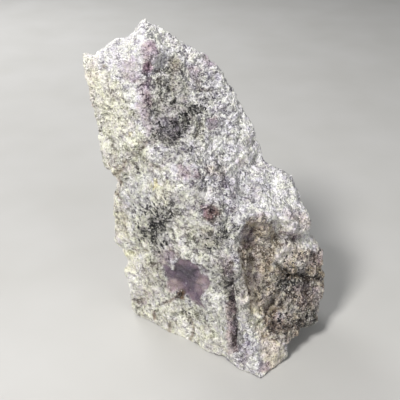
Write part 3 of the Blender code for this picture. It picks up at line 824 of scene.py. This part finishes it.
def traced(tree, line):
    """Points of the skin, a pixel apart, under a line drawn in the photograph."""
    found = []
    for a, b in zip(line[:-1], line[1:]):
        steps = max(1, round(math.dist(a, b)))
        for i in range(steps + 1):
            t = i / steps
            pixel = (a[0] + (b[0] - a[0]) * t, a[1] + (b[1] - a[1]) * t)
            hit = tree.ray_cast(Vector(EYE) * MM, sight(pixel))[0]
            if hit is not None:
                found.append(hit / MM)
    return found


def distance_to(points, places):
    tree = KDTree(len(points))
    for i, point in enumerate(points):
        tree.insert(point, i)
    tree.balance()
    return np.array([tree.find(p)[2] for p in places.tolist()])


def patches_at(patches, pixels, stray):
    """How much of one kind of rock the photograph shows at each place."""
    shown = np.zeros(len(pixels))
    for strength, fade, reach, *corners in patches:
        depth = inside_of(pixels, corners) + reach * stray
        shown = np.maximum(shown, strength * smooth_step(-fade, fade, depth))
    return shown


def behind_at(places, outward, stray):
    """How much of each kind of rock there is on the sides that the photograph doesn't show."""
    # How much the skin faces up, which frost follows as painted light from above
    fields = {"upward": outward[:, 2]}
    for name, (share, layers) in FIELDS.items():
        fields[name] = layered(places, layers) + share * stray
    behind = {}
    for name, (strength, low, high, gains) in BEHIND.items():
        followed = sum(gain * fields[field] for field, gain in gains.items())
        behind[name] = strength * smooth_step(low, high, followed)
    behind["slate"] *= smooth_step(*SLATE_RANGE, -fields["narrow"])
    return behind


def masks_of(places, outward):
    """How much of each kind of rock there is at each place, from 0 to 1."""
    stray = layered(places, STRAY_LAYERS)
    pixels = pixels_of(places)
    front = smooth_step(*FRONT_RANGE, (outward * unit(EYE - places)).sum(axis=1))
    masks = {name: patches_at(patches, pixels, stray) for name, patches in PATCHES.items()}
    masks["specks"] *= smooth_step(*SPECK_RANGE, noise_at(places, *SPECK_SPOTS))
    behind = behind_at(places, outward, stray)
    for name in PATCHES:
        masks[name] = front * masks[name] + (1 - front) * behind.get(name, 0.0)
    return masks, pixels, front


def broken_height(places, masks):
    """The height of the plates, terraces, lumps and seams over the smooth skin, in millimetres."""
    drawn = (wandered(places, *LOOSE), wandered(places, *FINER))
    height = np.zeros(len(places))
    for moved, (rise, size, seed, tilt) in zip(drawn, PLATES):
        height += rise * plates_at(moved, size, seed, tilt)
    for moved, (rise, size, steps, seed) in zip(drawn, TERRACES):
        height += rise * terraces_at(moved, size, steps, seed)
    for rise, size, seed in LUMPS:
        height += rise * noise_at(places, size, seed)
    seam = 1 - smooth_step(0.0, SEAM_WIDTH, np.abs(noise_at(drawn[0], *SEAM_LINES)))
    height -= SEAM_DEPTH * seam * smooth_step(0.0, SEAM_FULL, noise_at(places, *SEAM_PLACES))
    height -= height.mean()
    rough = np.ones(len(places))
    for name, gain in ROUGHER.items():
        rough += gain * masks[name]
    height *= rough * (1 - GLASSY_CALM * masks["glassy"])
    return height - GLASSY_SINK * masks["glassy"]


def carved(places, masks, pixels, front, tree):
    """The height of the broken relief over the smooth skin, in millimetres, and the stain and painted shade
    along its cracks.
    """
    height = broken_height(places, masks)
    for ledge in LEDGES:
        gap, side = line_distance(pixels, ledge.line, False)
        near = distance_to(traced(tree, ledge.line), places)
        side = side * math.copysign(1, ledge.height)
        size = abs(ledge.height)
        raised = size * np.exp(-near / ledge.reach)
        lowered = -LEDGE_DROP * size * np.exp(-near / (LEDGE_DROP_REACH * ledge.reach))
        across = smooth_step(-1.0, 1.0, side * gap)
        height += front * (across * raised + (1 - across) * lowered)
    darkened = {crack.mask: np.zeros(len(places)) for crack in CRACKS}
    for crack in CRACKS:
        near = distance_to(traced(tree, crack.line), places)
        near = np.clip(near + CRACK_WANDER * noise_at(places, *CRACK_NOISE), 0, None)
        height -= crack.depth * np.exp(-(near / crack.half_width) ** 2)
        spread = np.exp(-(near / (CRACK_DARKENING * crack.half_width)) ** 2)
        darkened[crack.mask] = np.maximum(darkened[crack.mask], crack.strength * spread)
    return height, darkened


def worn(mesh, height):
    """The same heights with the small relief levelled out, each vertex taking on its neighbours' level."""
    ends = table_of(mesh.edges, "vertices", 2, int)
    first, second = ends.T
    joined = np.bincount(ends.ravel(), minlength=len(height))
    level = height
    for _ in range(LEVEL_PASSES):
        total = np.bincount(first, level[second], len(height))
        total += np.bincount(second, level[first], len(height))
        level = 0.5 * level + 0.5 * total / joined
    return level


def inside_box(places):
    """Keeps places inside the solid's own box."""
    low, high = (np.array(corner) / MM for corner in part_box(NODE))
    low = low + np.array((BOX_MARGIN, BOX_MARGIN, 0.0))
    return np.clip(places, low, high - BOX_MARGIN)


def store(mesh, name, values):
    layer = mesh.attributes.new(name, "FLOAT", "POINT")
    layer.data.foreach_set("value", np.asarray(values, np.float32))


def stone_body():
    mesh = fine_skin(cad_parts[NODE])
    piece = added("stone_body", mesh)
    unwrap(piece)
    places, outward = places_of(mesh), outward_at(mesh)
    tree = BVHTree.FromObject(piece, bpy.context.evaluated_depsgraph_get())
    masks, pixels, front = masks_of(places, outward)
    height, darkened = carved(places, masks, pixels, front, tree)
    # The stain and painted shade along the cracks goes into the masks
    for name, amount in darkened.items():
        masks[name] = np.maximum(masks[name], amount)
    # How far a place stands out, which the materials turn into a painted highlight on crests and painted
    # shade in hollows
    masks["relief"] = np.clip((height - worn(mesh, height)) / RELIEF_SPAN, -1, 1)
    above_foot = smooth_step(FOOT_START, FOOT_FADE, places[:, 2])
    moved = places + outward * ((height - SINK) * above_foot)[:, None]
    set_places(mesh, inside_box(moved))
    mesh.shade_smooth()
    for name in MASKS:
        store(mesh, name, masks[name])
    piece.data.materials.append(rock_material())
    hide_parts(NODE)
    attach(piece, BODY)
    return piece, masks


@dataclass
class Flakes:
    """A crop of mica flakes that stand in the skin; sizes in millimetres, leans in degrees.

    slim is how wide a flake is for its length, at least and at most. With align at 1 the flakes all lie
    along the grain of the rock, and with 0 every way. bleach is how much whiter they are painted than the
    rock they are in, as white mica and as painted glints that read as sparkles, and likes says how many more
    of them, or fewer, stand in each kind of rock.
    """

    name: str
    seed: int
    count: int
    radius: tuple
    lean: float
    tones: tuple
    roughness: float
    likes: dict
    slim: tuple = (0.5, 1.0)
    lift: float = 0.0
    align: float = 0.5
    white_and_glint: float = 0.0


FLAKES = (
    Flakes("pearl_flakes", seed=11, count=24500, radius=(0.21, 0.50), lean=8, tones=(0.5, 1.0),
           roughness=0.36,
           likes={"frost_and_light": 0.8, "cream": -0.3, "shade": -0.7, "brown": -0.4, "glassy": -1.0}),
    Flakes("grey_flakes", seed=12, count=23000, radius=(0.19, 0.47), lean=9, tones=(0.1, 0.6),
           roughness=0.45,
           likes={"frost_and_light": -0.75, "cream": -0.5, "shade": 0.5, "brown": 0.4, "glassy": -1.0}),
    Flakes("streak_flakes", seed=14, count=12000, radius=(0.30, 0.68), lean=9, tones=(0.6, 1.0),
           roughness=0.3, slim=(0.22, 0.4), align=0.85, white_and_glint=0.25,
           likes={"frost_and_light": 0.2, "cream": -0.55, "shade": -0.3, "brown": -0.3, "glassy": -1.0}),
    Flakes("bright_flakes", seed=13, count=12000, radius=(0.13, 0.30), lean=22, tones=(0.85, 1.0),
           roughness=0.18, lift=0.02, align=0.0, white_and_glint=0.6,
           likes={"frost_and_light": 0.2, "cream": -0.3, "shade": 0.4, "brown": 0.7, "glassy": -0.8}),
)
# How many corners a flake has, and how unevenly they are set, as shares of the step between them and of
# the flake's radius
CORNERS = 5
CORNER_TURN = 0.3
CORNER_REACH = (0.75, 1.1)
# How far a flake is lifted off the skin, as a share of its kind's lift, at least and at most
FLAKE_LIFT = (-0.5, 1.0)
# How deep a flake's root is below it, in millimetres
FLAKE_THICKNESS = 0.35
# How much of a flake's lean is its own, how much it shares with those near it, and in what field
OWN_LEAN = 0.6
SHARED_LEAN = 1.5
LEAN_FIELD = (4.0, 200.0, 23.0)
# The grain of the rock, by which flakes are aligned: its width, seed and step between seeds
GRAIN_FIELD = (7.0, 300.0, 23.0)
GRAIN_PULL = 3
# No flakes stand lower than the first height, in millimetres, and as many as elsewhere above the second
FLAKE_FOOT = (0.8, 1.6)
# How wide a flake's square on the map is for its radius
MAP_SQUARE = 3.0


def crop_of_flakes(kind, skin, masks):
    """Many flat-topped flakes, each rooted in the skin by a point below it, in one mesh."""
    rng = np.random.RandomState(kind.seed)
    places, outward = places_of(skin), outward_at(skin)
    skin.calc_loop_triangles()
    corners = table_of(skin.loop_triangles, "vertices", 3, int)
    sides = places[corners]
    area = np.linalg.norm(np.cross(sides[:, 1] - sides[:, 0], sides[:, 2] - sides[:, 0]), axis=1)
    wish = np.ones(len(places))
    for name, gain in kind.likes.items():
        wish += gain * masks[name]
    wish = np.clip(wish, 0, None) * smooth_step(*FLAKE_FOOT, places[:, 2])
    weight = area * wish[corners].mean(axis=1)
    chosen = rng.choice(len(corners), kind.count, p=weight / weight.sum())
    share = rng.dirichlet((1, 1, 1), kind.count)
    middle = (places[corners[chosen]] * share[:, :, None]).sum(axis=1)
    normal = unit((outward[corners[chosen]] * share[:, :, None]).sum(axis=1))
    lean = rng.normal(0, OWN_LEAN, (kind.count, 3)) + SHARED_LEAN * field_at(middle, *LEAN_FIELD)
    axis = unit(normal + math.tan(math.radians(kind.lean)) * lean)
    facing_in = (axis * normal).sum(axis=1) < 0
    axis[facing_in] *= -1
    grain = kind.align * GRAIN_PULL * field_at(middle, *GRAIN_FIELD)
    grain = grain + (1 - kind.align) * rng.normal(0, 1, (kind.count, 3))
    side = unit(np.cross(axis, np.cross(grain, axis)))
    other = np.cross(axis, side)
    radius = rng.uniform(*kind.radius, kind.count)
    slim = rng.uniform(*kind.slim, kind.count)
    middle = middle + normal * (kind.lift * rng.uniform(*FLAKE_LIFT, kind.count))[:, None]
    uneven = rng.uniform(-CORNER_TURN, CORNER_TURN, (kind.count, CORNERS))
    turn = (np.arange(CORNERS) + uneven) * 2 * math.pi / CORNERS
    reach = radius[:, None] * rng.uniform(*CORNER_REACH, (kind.count, CORNERS))
    flat_x = reach * np.cos(turn)
    flat_y = reach * np.sin(turn) * slim[:, None]
    rim = middle[:, None] + flat_x[:, :, None] * side[:, None] + flat_y[:, :, None] * other[:, None]
    root = middle - (0.5 * axis + 0.5 * normal) * (FLAKE_THICKNESS + radius * slim)[:, None]
    points = np.concatenate((rim, root[:, None]), axis=1)
    flats = np.concatenate((np.stack((flat_x, flat_y), axis=2), np.zeros((kind.count, 1, 2))), axis=1)
    mesh = flake_mesh(kind, inside_box(points.reshape(-1, 3)), flats, radius)
    owner = corners[chosen, 0]
    for name in MASKS:
        store(mesh, name, np.repeat(masks[name][owner], CORNERS + 1))
    tone = rng.uniform(*kind.tones, kind.count)
    store(mesh, "tone", np.repeat(tone, CORNERS + 1))
    return mesh


def flake_mesh(kind, points, flats, radius):
    """Joins flake corners into closed flakes, and gives each flake a square of its own on the map."""
    count = kind.count
    per_flake = CORNERS + 1
    ring = np.arange(CORNERS)
    following = np.roll(ring, -1)
    fan = np.stack((following, ring, np.full(CORNERS, CORNERS)), axis=1).ravel()
    pattern = np.concatenate((ring, fan))
    first = (np.arange(count) * per_flake)[:, None]
    loops = (first + pattern).ravel()
    sizes = np.tile(np.array([CORNERS] + [3] * CORNERS), count)
    starts = np.concatenate(((0,), np.cumsum(sizes)[:-1]))
    mesh = bpy.data.meshes.new(kind.name)
    mesh.vertices.add(count * per_flake)
    mesh.vertices.foreach_set("co", (points * MM).ravel())
    mesh.loops.add(len(loops))
    mesh.loops.foreach_set("vertex_index", loops.astype(np.int32))
    mesh.polygons.add(len(sizes))
    mesh.polygons.foreach_set("loop_start", starts.astype(np.int32))
    mesh.update(calc_edges=True)
    mesh.validate()
    squares = math.ceil(math.sqrt(count))
    cell = np.stack((np.arange(count) % squares, np.arange(count) // squares), axis=1) + 0.5
    spread = flats / (radius[:, None, None] * MAP_SQUARE)
    spots = ((cell[:, None] + spread) / squares).reshape(-1, 2)
    layer = mesh.uv_layers.new(name="OFBake")
    layer.data.foreach_set("uv", spots[loops].ravel())
    return mesh


def flake_piece(kind, skin, masks):
    piece = added(kind.name, crop_of_flakes(kind, skin, masks))
    piece.data.materials.append(flake_material(kind))
    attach(piece, BODY)


def colour(red, green, blue):
    """A colour given by its screen values, 0 to 255, as the light values that nodes work with."""
    def light(value):
        share = value / 255
        return share / 12.92 if share <= 0.04045 else ((share + 0.055) / 1.055) ** 2.4
    return (light(red), light(green), light(blue), 1.0)


# Dark and pale grains of each kind of rock, and how much its share wanders
LILAC_ROCK = (colour(95, 90, 106), colour(239, 239, 244))
KINDS = (
    ("cream", 0.35, colour(109, 108, 92), colour(251, 252, 238)),
    ("olive", 0.2, colour(75, 71, 70), colour(226, 227, 218)),
    ("brown", 0.15, colour(78, 58, 41), colour(213, 197, 171)),
    # Frost: white mica, and painted light on the faces that turn to the lamp
    ("frost_and_light", 0.3, colour(153, 150, 161), colour(254, 255, 255)),
    ("violet", 0.2, colour(86, 84, 110), colour(226, 228, 247)),
    ("yellow", 0.10, colour(166, 156, 108), colour(240, 235, 188)),
    ("sand", 0.15, colour(158, 137, 113), colour(252, 241, 223)),
    ("shade", 0.16, colour(31, 31, 30), colour(172, 171, 165)),
    ("purple", 0.25, colour(80, 57, 74), colour(188, 160, 178)),
    ("glassy", 0.0, colour(70, 57, 72), colour(140, 121, 134)),
    ("rosy", 0.0, colour(134, 118, 124), colour(180, 162, 164)),
    ("slate", 0.0, colour(44, 38, 52), colour(96, 84, 102)),
    # Stain: rusty stains, and painted shade in the crevice, the dark pocket and the cracks
    ("stain_and_shade", 0.0, colour(48, 34, 24), colour(120, 92, 62)),
    # Rime: the whitest mica, and painted light laid over the shade
    ("rime_and_highlight", 0.1, colour(205, 203, 207), colour(255, 255, 255)),
)
# The white that flakes are painted towards, for white mica and painted glints
WHITE = colour(253, 252, 250)
# What the mottling leaves of the light of each colour where it is lilac, and where it is cream
LILAC_TINT = (0.97, 0.938, 1.0, 1.0)
CREAM_TINT = (0.995, 1.0, 0.89, 1.0)
BLACK_SPECK = colour(22, 21, 23)

# Noise in the materials is given by its width in millimetres, detail, roughness, seed and swirl, and most of
# it is stretched between these two values
NOISE_SPAN = (0.3, 0.7)
# The noise by which the kinds of rock wander, and what it is stretched between
WAVER_NOISE = (3.2, 3.0, 0.6)
WAVER_SEED = 7.0
WAVER_SPAN = (0.35, 0.7)
MOTTLE_NOISE = (1.7, 3.0, 0.65, 41.0, 0.5)
MOTTLE_SPAN = (0.38, 0.62)
# Clusters of paler and darker grains: the noise and how much paler or darker
CLUSTERS = (((4.4, 2.0, 0.5, 2.0, 0.6), 0.25), ((2.2, 4.0, 0.65, 3.0, 0.4), 0.34))
# Pale streaks and dark seams, where noise is near its middle: the noise, how near, and how much paler
STREAKS = (((3.2, 2.0, 0.5, 5.0, 1.4), 0.035, 0.2), ((4.2, 2.0, 0.5, 9.0, 1.0), 0.02, -0.3))
# How much paler grains are in some kinds of rock, and how the relief paints a highlight on crests and shade
# in hollows
PALER = {"shade": -0.15, "cream": 0.12, "frost_and_light": 0.10, "relief": 0.2}

# The rock between the flakes: its coarse and fine grains in millimetres, and the tones that are kept
COARSE_GRAIN = 0.9
FINE_GRAIN = 0.42
ROCK_TONES = (0.13, 0.84)
# The tone of the glassy patch
GLASSY_NOISE = (3.0, 2.0, 0.5, 21.0)
GLASSY_TONES = (0.35, 0.65, 0.1, 0.75)
# How rough the surface of the darkest and palest fine grains is, and how much less so the glassy patch
GRAIN_ROUGHNESS = (0.75, 0.4)
GLASSY_SMOOTHER = 0.25
# How high the bumps are, in millimetres, the noise in them, the share of the fine ones and of the noise, and
# how much of them some kinds of rock lose
BUMP_REACH = 0.5
BUMP_NOISE = (0.6, 3.0, 0.6)
FINE_BUMPS = 0.5
BUMPS_LOST = {"glassy": 0.9, "cream": 0.1}

# The flakes: noise within a flake and how much paler or darker it makes it, and the tones that are kept
FLECK_NOISE = (0.5, 2.0, 0.6, 31.0)
FLECK = 0.25
FLAKE_TONES = (0.1, 0.94)
# The width of the noise by which their roughness changes, and how far it does
ROUGHNESS_NOISE = 0.8
ROUGHNESS_SPREAD = (-0.08, 0.1)

# Black specks: their share in the rock and among the flakes, and how sharp their edges are
ROCK_SPECKS = 0.7
FLAKE_SPECKS = 0.6
SPECK_EDGE = (-0.02, 0.04)
# How strongly the rock and the mica bend light
ROCK_IOR = 1.56
MICA_IOR = 1.58

# The stage: half its width in metres, its colours, the noise between them and its roughness
FLOOR_HALF = 2.0
FLOOR_COLOURS = (colour(188, 187, 184), colour(194, 193, 191))
FLOOR_NOISE = (40.0, 2.0)
FLOOR_ROUGHNESS = 0.85
# Soft square lamps: place and width in millimetres, power in watts, and tint; where they are aimed
LAMPS = {
    "key": ((-260, -330, 500), 130, 4.33, (1.0, 0.985, 0.96)),
    "fill": ((380, -420, 300), 300, 0.8, (0.98, 0.99, 1.0)),
    "back": ((-260, 440, 340), 260, 1.6, (1.0, 1.0, 1.0)),
}
LAMP_AIM = (0, 0, 50)
ROOM_COLOUR = colour(218, 220, 222)
ROOM_STRENGTH = 0.28

# The places of the colours among a mix node's inputs and outputs
FIRST_COLOUR = 6
SECOND_COLOUR = 7
MIXED_COLOUR = 2


class Nodes:
    """Short names for the shader nodes that the materials are made of."""

    def __init__(self, material):
        material.use_nodes = True
        self.tree = material.node_tree
        self.shader = self.tree.nodes["Principled BSDF"]
        self.place = self.tree.nodes.new("ShaderNodeTexCoord").outputs["Object"]

    def link(self, value, target):
        """Links one socket to another, or gives it a fixed value."""
        if isinstance(value, (int, float, tuple)):
            target.default_value = value
        else:
            self.tree.links.new(value, target)

    def node(self, kind, inputs, **settings):
        """A new node with these settings and inputs."""
        node = self.tree.nodes.new("ShaderNode" + kind)
        for name, value in settings.items():
            setattr(node, name, value)
        for name, value in inputs.items():
            self.link(value, node.inputs[name])
        return node

    def mask(self, name):
        return self.node("Attribute", {}, attribute_name=name).outputs["Fac"]

    def mix(self, share, first, second, blend="MIX"):
        """Blends two colours, each a socket or a fixed colour, or multiplies them."""
        inputs = {"Factor": share, FIRST_COLOUR: first, SECOND_COLOUR: second}
        return self.node("Mix", inputs, data_type="RGBA", blend_type=blend).outputs[MIXED_COLOUR]

    def math(self, kind, first, second=0.0):
        return self.node("Math", {0: first, 1: second}, operation=kind).outputs[0]

    def plus(self, first, second):
        return self.math("ADD", first, second)

    def minus(self, first, second):
        return self.math("SUBTRACT", first, second)

    def times(self, first, second):
        return self.math("MULTIPLY", first, second)

    def span(self, value, low, high, new_low=0.0, new_high=1.0):
        """Stretches a value from one range to another, and stops at its ends."""
        inputs = {"Value": value, "From Min": low, "From Max": high, "To Min": new_low, "To Max": new_high}
        return self.node("MapRange", inputs).outputs["Result"]

    def noise(self, size, detail=2.0, rough=0.5, seed=0.0, swirl=0.0):
        """Smooth noise with lumps about size millimetres wide."""
        inputs = {"Vector": self.place, "W": seed, "Scale": 1 / (size * MM), "Detail": detail,
                  "Roughness": rough, "Distortion": swirl}
        return self.node("TexNoise", inputs, noise_dimensions="4D").outputs["Fac"]

    def vector(self, kind, first, second):
        return self.node("VectorMath", {0: first, 1: second}, operation=kind)

    def grains(self, size):
        """Flat-faced grains about size millimetres wide: a random value and a slope of its own for each."""
        cells = self.node("TexVoronoi", {"Vector": self.place, "Scale": 1 / (size * MM)}).outputs
        parts = self.node("SeparateColor", {"Color": cells["Color"]})
        from_middle = self.vector("SUBTRACT", self.place, cells["Position"]).outputs["Vector"]
        slope = self.vector("SUBTRACT", cells["Color"], (0.5, 0.5, 0.5)).outputs["Vector"]
        face = self.vector("DOT_PRODUCT", from_middle, slope).outputs["Value"]
        return parts.outputs["Red"], self.times(face, 2 / (size * MM))

    def bumped(self, height, reach):
        """Leans the surface as if it rose by height times reach millimetres."""
        node = self.node("Bump", {"Strength": 1.0, "Distance": reach * MM, "Height": height})
        self.link(node.outputs["Normal"], self.shader.inputs["Normal"])


def rock_colour(nodes, tone):
    """The colour of a grain of the given tone, 0 dark to 1 pale, in whatever kind of rock it lies."""
    dark, pale = LILAC_ROCK
    for i, (name, waver, dark_kind, pale_kind) in enumerate(KINDS):
        share = nodes.mask(name)
        if waver:
            cloud = nodes.span(nodes.noise(*WAVER_NOISE, WAVER_SEED + i), *WAVER_SPAN, -waver, waver)
            share = nodes.span(nodes.plus(share, cloud), 0.0, 1.0)
        dark = nodes.mix(share, dark, dark_kind)
        pale = nodes.mix(share, pale, pale_kind)
    mottle = nodes.span(nodes.noise(*MOTTLE_NOISE), *MOTTLE_SPAN)
    tint = nodes.mix(mottle, LILAC_TINT, CREAM_TINT)
    return nodes.mix(1.0, nodes.mix(tone, dark, pale), tint, "MULTIPLY")


def clustered(nodes, tone):
    """Makes grains paler and darker in clusters, with a painted highlight on crests and painted shade in
    hollows.
    """
    for layer, reach in CLUSTERS:
        tone = nodes.plus(tone, nodes.span(nodes.noise(*layer), *NOISE_SPAN, -reach, reach))
    for layer, width, paler in STREAKS:
        off_middle = nodes.math("ABSOLUTE", nodes.minus(nodes.noise(*layer), 0.5))
        tone = nodes.plus(tone, nodes.span(off_middle, 0.0, width, paler, 0.0))
    for name, gain in PALER.items():
        tone = nodes.plus(tone, nodes.times(nodes.mask(name), gain))
    return tone


def with_specks(nodes, base, share, tone):
    """Makes the darkest grains black where the rock has black specks."""
    speck = nodes.minus(nodes.times(nodes.mask("specks"), share), tone)
    return nodes.mix(nodes.span(speck, *SPECK_EDGE), base, BLACK_SPECK)


def rock_material():
    """The matrix between the flakes: fine sugary grains, pale and dark, with pits between them."""
    material = bpy.data.materials.new("lepidolite_rock")
    nodes = Nodes(material)
    coarse, coarse_face = nodes.grains(COARSE_GRAIN)
    fine, fine_face = nodes.grains(FINE_GRAIN)
    tone = nodes.plus(nodes.times(coarse, 0.5), nodes.times(fine, 0.5))
    tone = nodes.span(clustered(nodes, tone), *ROCK_TONES)
    glassy = nodes.mask("glassy")
    calm = nodes.span(nodes.noise(*GLASSY_NOISE), *GLASSY_TONES)
    tone = nodes.plus(nodes.times(tone, nodes.minus(1.0, glassy)), nodes.times(calm, glassy))
    base = with_specks(nodes, rock_colour(nodes, tone), ROCK_SPECKS, coarse)
    nodes.link(base, nodes.shader.inputs["Base Color"])
    roughness = nodes.span(fine, 0.0, 1.0, *GRAIN_ROUGHNESS)
    roughness = nodes.minus(roughness, nodes.times(glassy, GLASSY_SMOOTHER))
    nodes.link(roughness, nodes.shader.inputs["Roughness"])
    nodes.link(ROCK_IOR, nodes.shader.inputs["IOR"])
    relief = nodes.plus(coarse_face, nodes.times(fine_face, FINE_BUMPS))
    relief = nodes.plus(relief, nodes.times(nodes.noise(*BUMP_NOISE), FINE_BUMPS))
    for name, lost in BUMPS_LOST.items():
        relief = nodes.times(relief, nodes.minus(1.0, nodes.times(nodes.mask(name), lost)))
    nodes.bumped(relief, BUMP_REACH)
    return material


def flake_material(kind):
    """Mica: one tone a flake, in clusters, with a pearly gloss."""
    material = bpy.data.materials.new(kind.name)
    nodes = Nodes(material)
    own = nodes.mask("tone")
    fleck = nodes.span(nodes.noise(*FLECK_NOISE), *NOISE_SPAN, -FLECK, FLECK)
    tone = nodes.span(clustered(nodes, nodes.plus(own, fleck)), *FLAKE_TONES)
    base = rock_colour(nodes, tone)
    # Painted whiter: white mica, and painted glints that read as sparkles even in dark rock
    if kind.white_and_glint:
        base = nodes.mix(nodes.span(own, 0.0, 1.0, 0.0, kind.white_and_glint), base, WHITE)
    base = with_specks(nodes, base, FLAKE_SPECKS, own)
    nodes.link(base, nodes.shader.inputs["Base Color"])
    low, high = (kind.roughness + spread for spread in ROUGHNESS_SPREAD)
    roughness = nodes.span(nodes.noise(ROUGHNESS_NOISE), *NOISE_SPAN, low, high)
    nodes.link(roughness, nodes.shader.inputs["Roughness"])
    nodes.link(MICA_IOR, nodes.shader.inputs["IOR"])
    return material


def floor_material():
    material = bpy.data.materials.new("pale_floor")
    nodes = Nodes(material)
    cloud = nodes.span(nodes.noise(*FLOOR_NOISE), *NOISE_SPAN)
    nodes.link(nodes.mix(cloud, *FLOOR_COLOURS), nodes.shader.inputs["Base Color"])
    nodes.link(FLOOR_ROUGHNESS, nodes.shader.inputs["Roughness"])
    return material


def stage():
    mesh = bpy.data.meshes.new("floor")
    corners = [(x * FLOOR_HALF, y * FLOOR_HALF, 0) for x, y in ((-1, -1), (1, -1), (1, 1), (-1, 1))]
    mesh.from_pydata(corners, [], [(0, 1, 2, 3)])
    floor = added("floor", mesh)
    floor.data.materials.append(floor_material())


def face(piece, place, direction):
    """Puts a lamp or the camera at a place in millimetres, facing a direction."""
    piece.location = Vector(place) * MM
    piece.rotation_euler = Vector(direction).to_track_quat("-Z", "Y").to_euler()


def lights():
    for name, (place, size, power, tint) in LAMPS.items():
        data = bpy.data.lights.new(name, "AREA")
        data.size = size * MM
        data.energy = power
        data.color = tint
        face(added(name, data), place, Vector(LAMP_AIM) - Vector(place))
    world = bpy.data.worlds.new("soft_room")
    world.use_nodes = True
    back = world.node_tree.nodes["Background"]
    back.inputs["Color"].default_value = ROOM_COLOUR
    back.inputs["Strength"].default_value = ROOM_STRENGTH
    bpy.context.scene.world = world


def camera():
    data = bpy.data.cameras.new("camera")
    data.sensor_width = SENSOR
    data.lens = SENSOR / 2 / math.tan(FIELD_OF_VIEW / 2)
    eye = added("camera", data)
    face(eye, EYE, FORWARD)
    bpy.context.scene.camera = eye
    bpy.context.scene.view_settings.view_transform = "Standard"


def main():
    camera()
    lights()
    stage()
    body, masks = stone_body()
    for kind in FLAKES:
        flake_piece(kind, body.data, masks)


main()
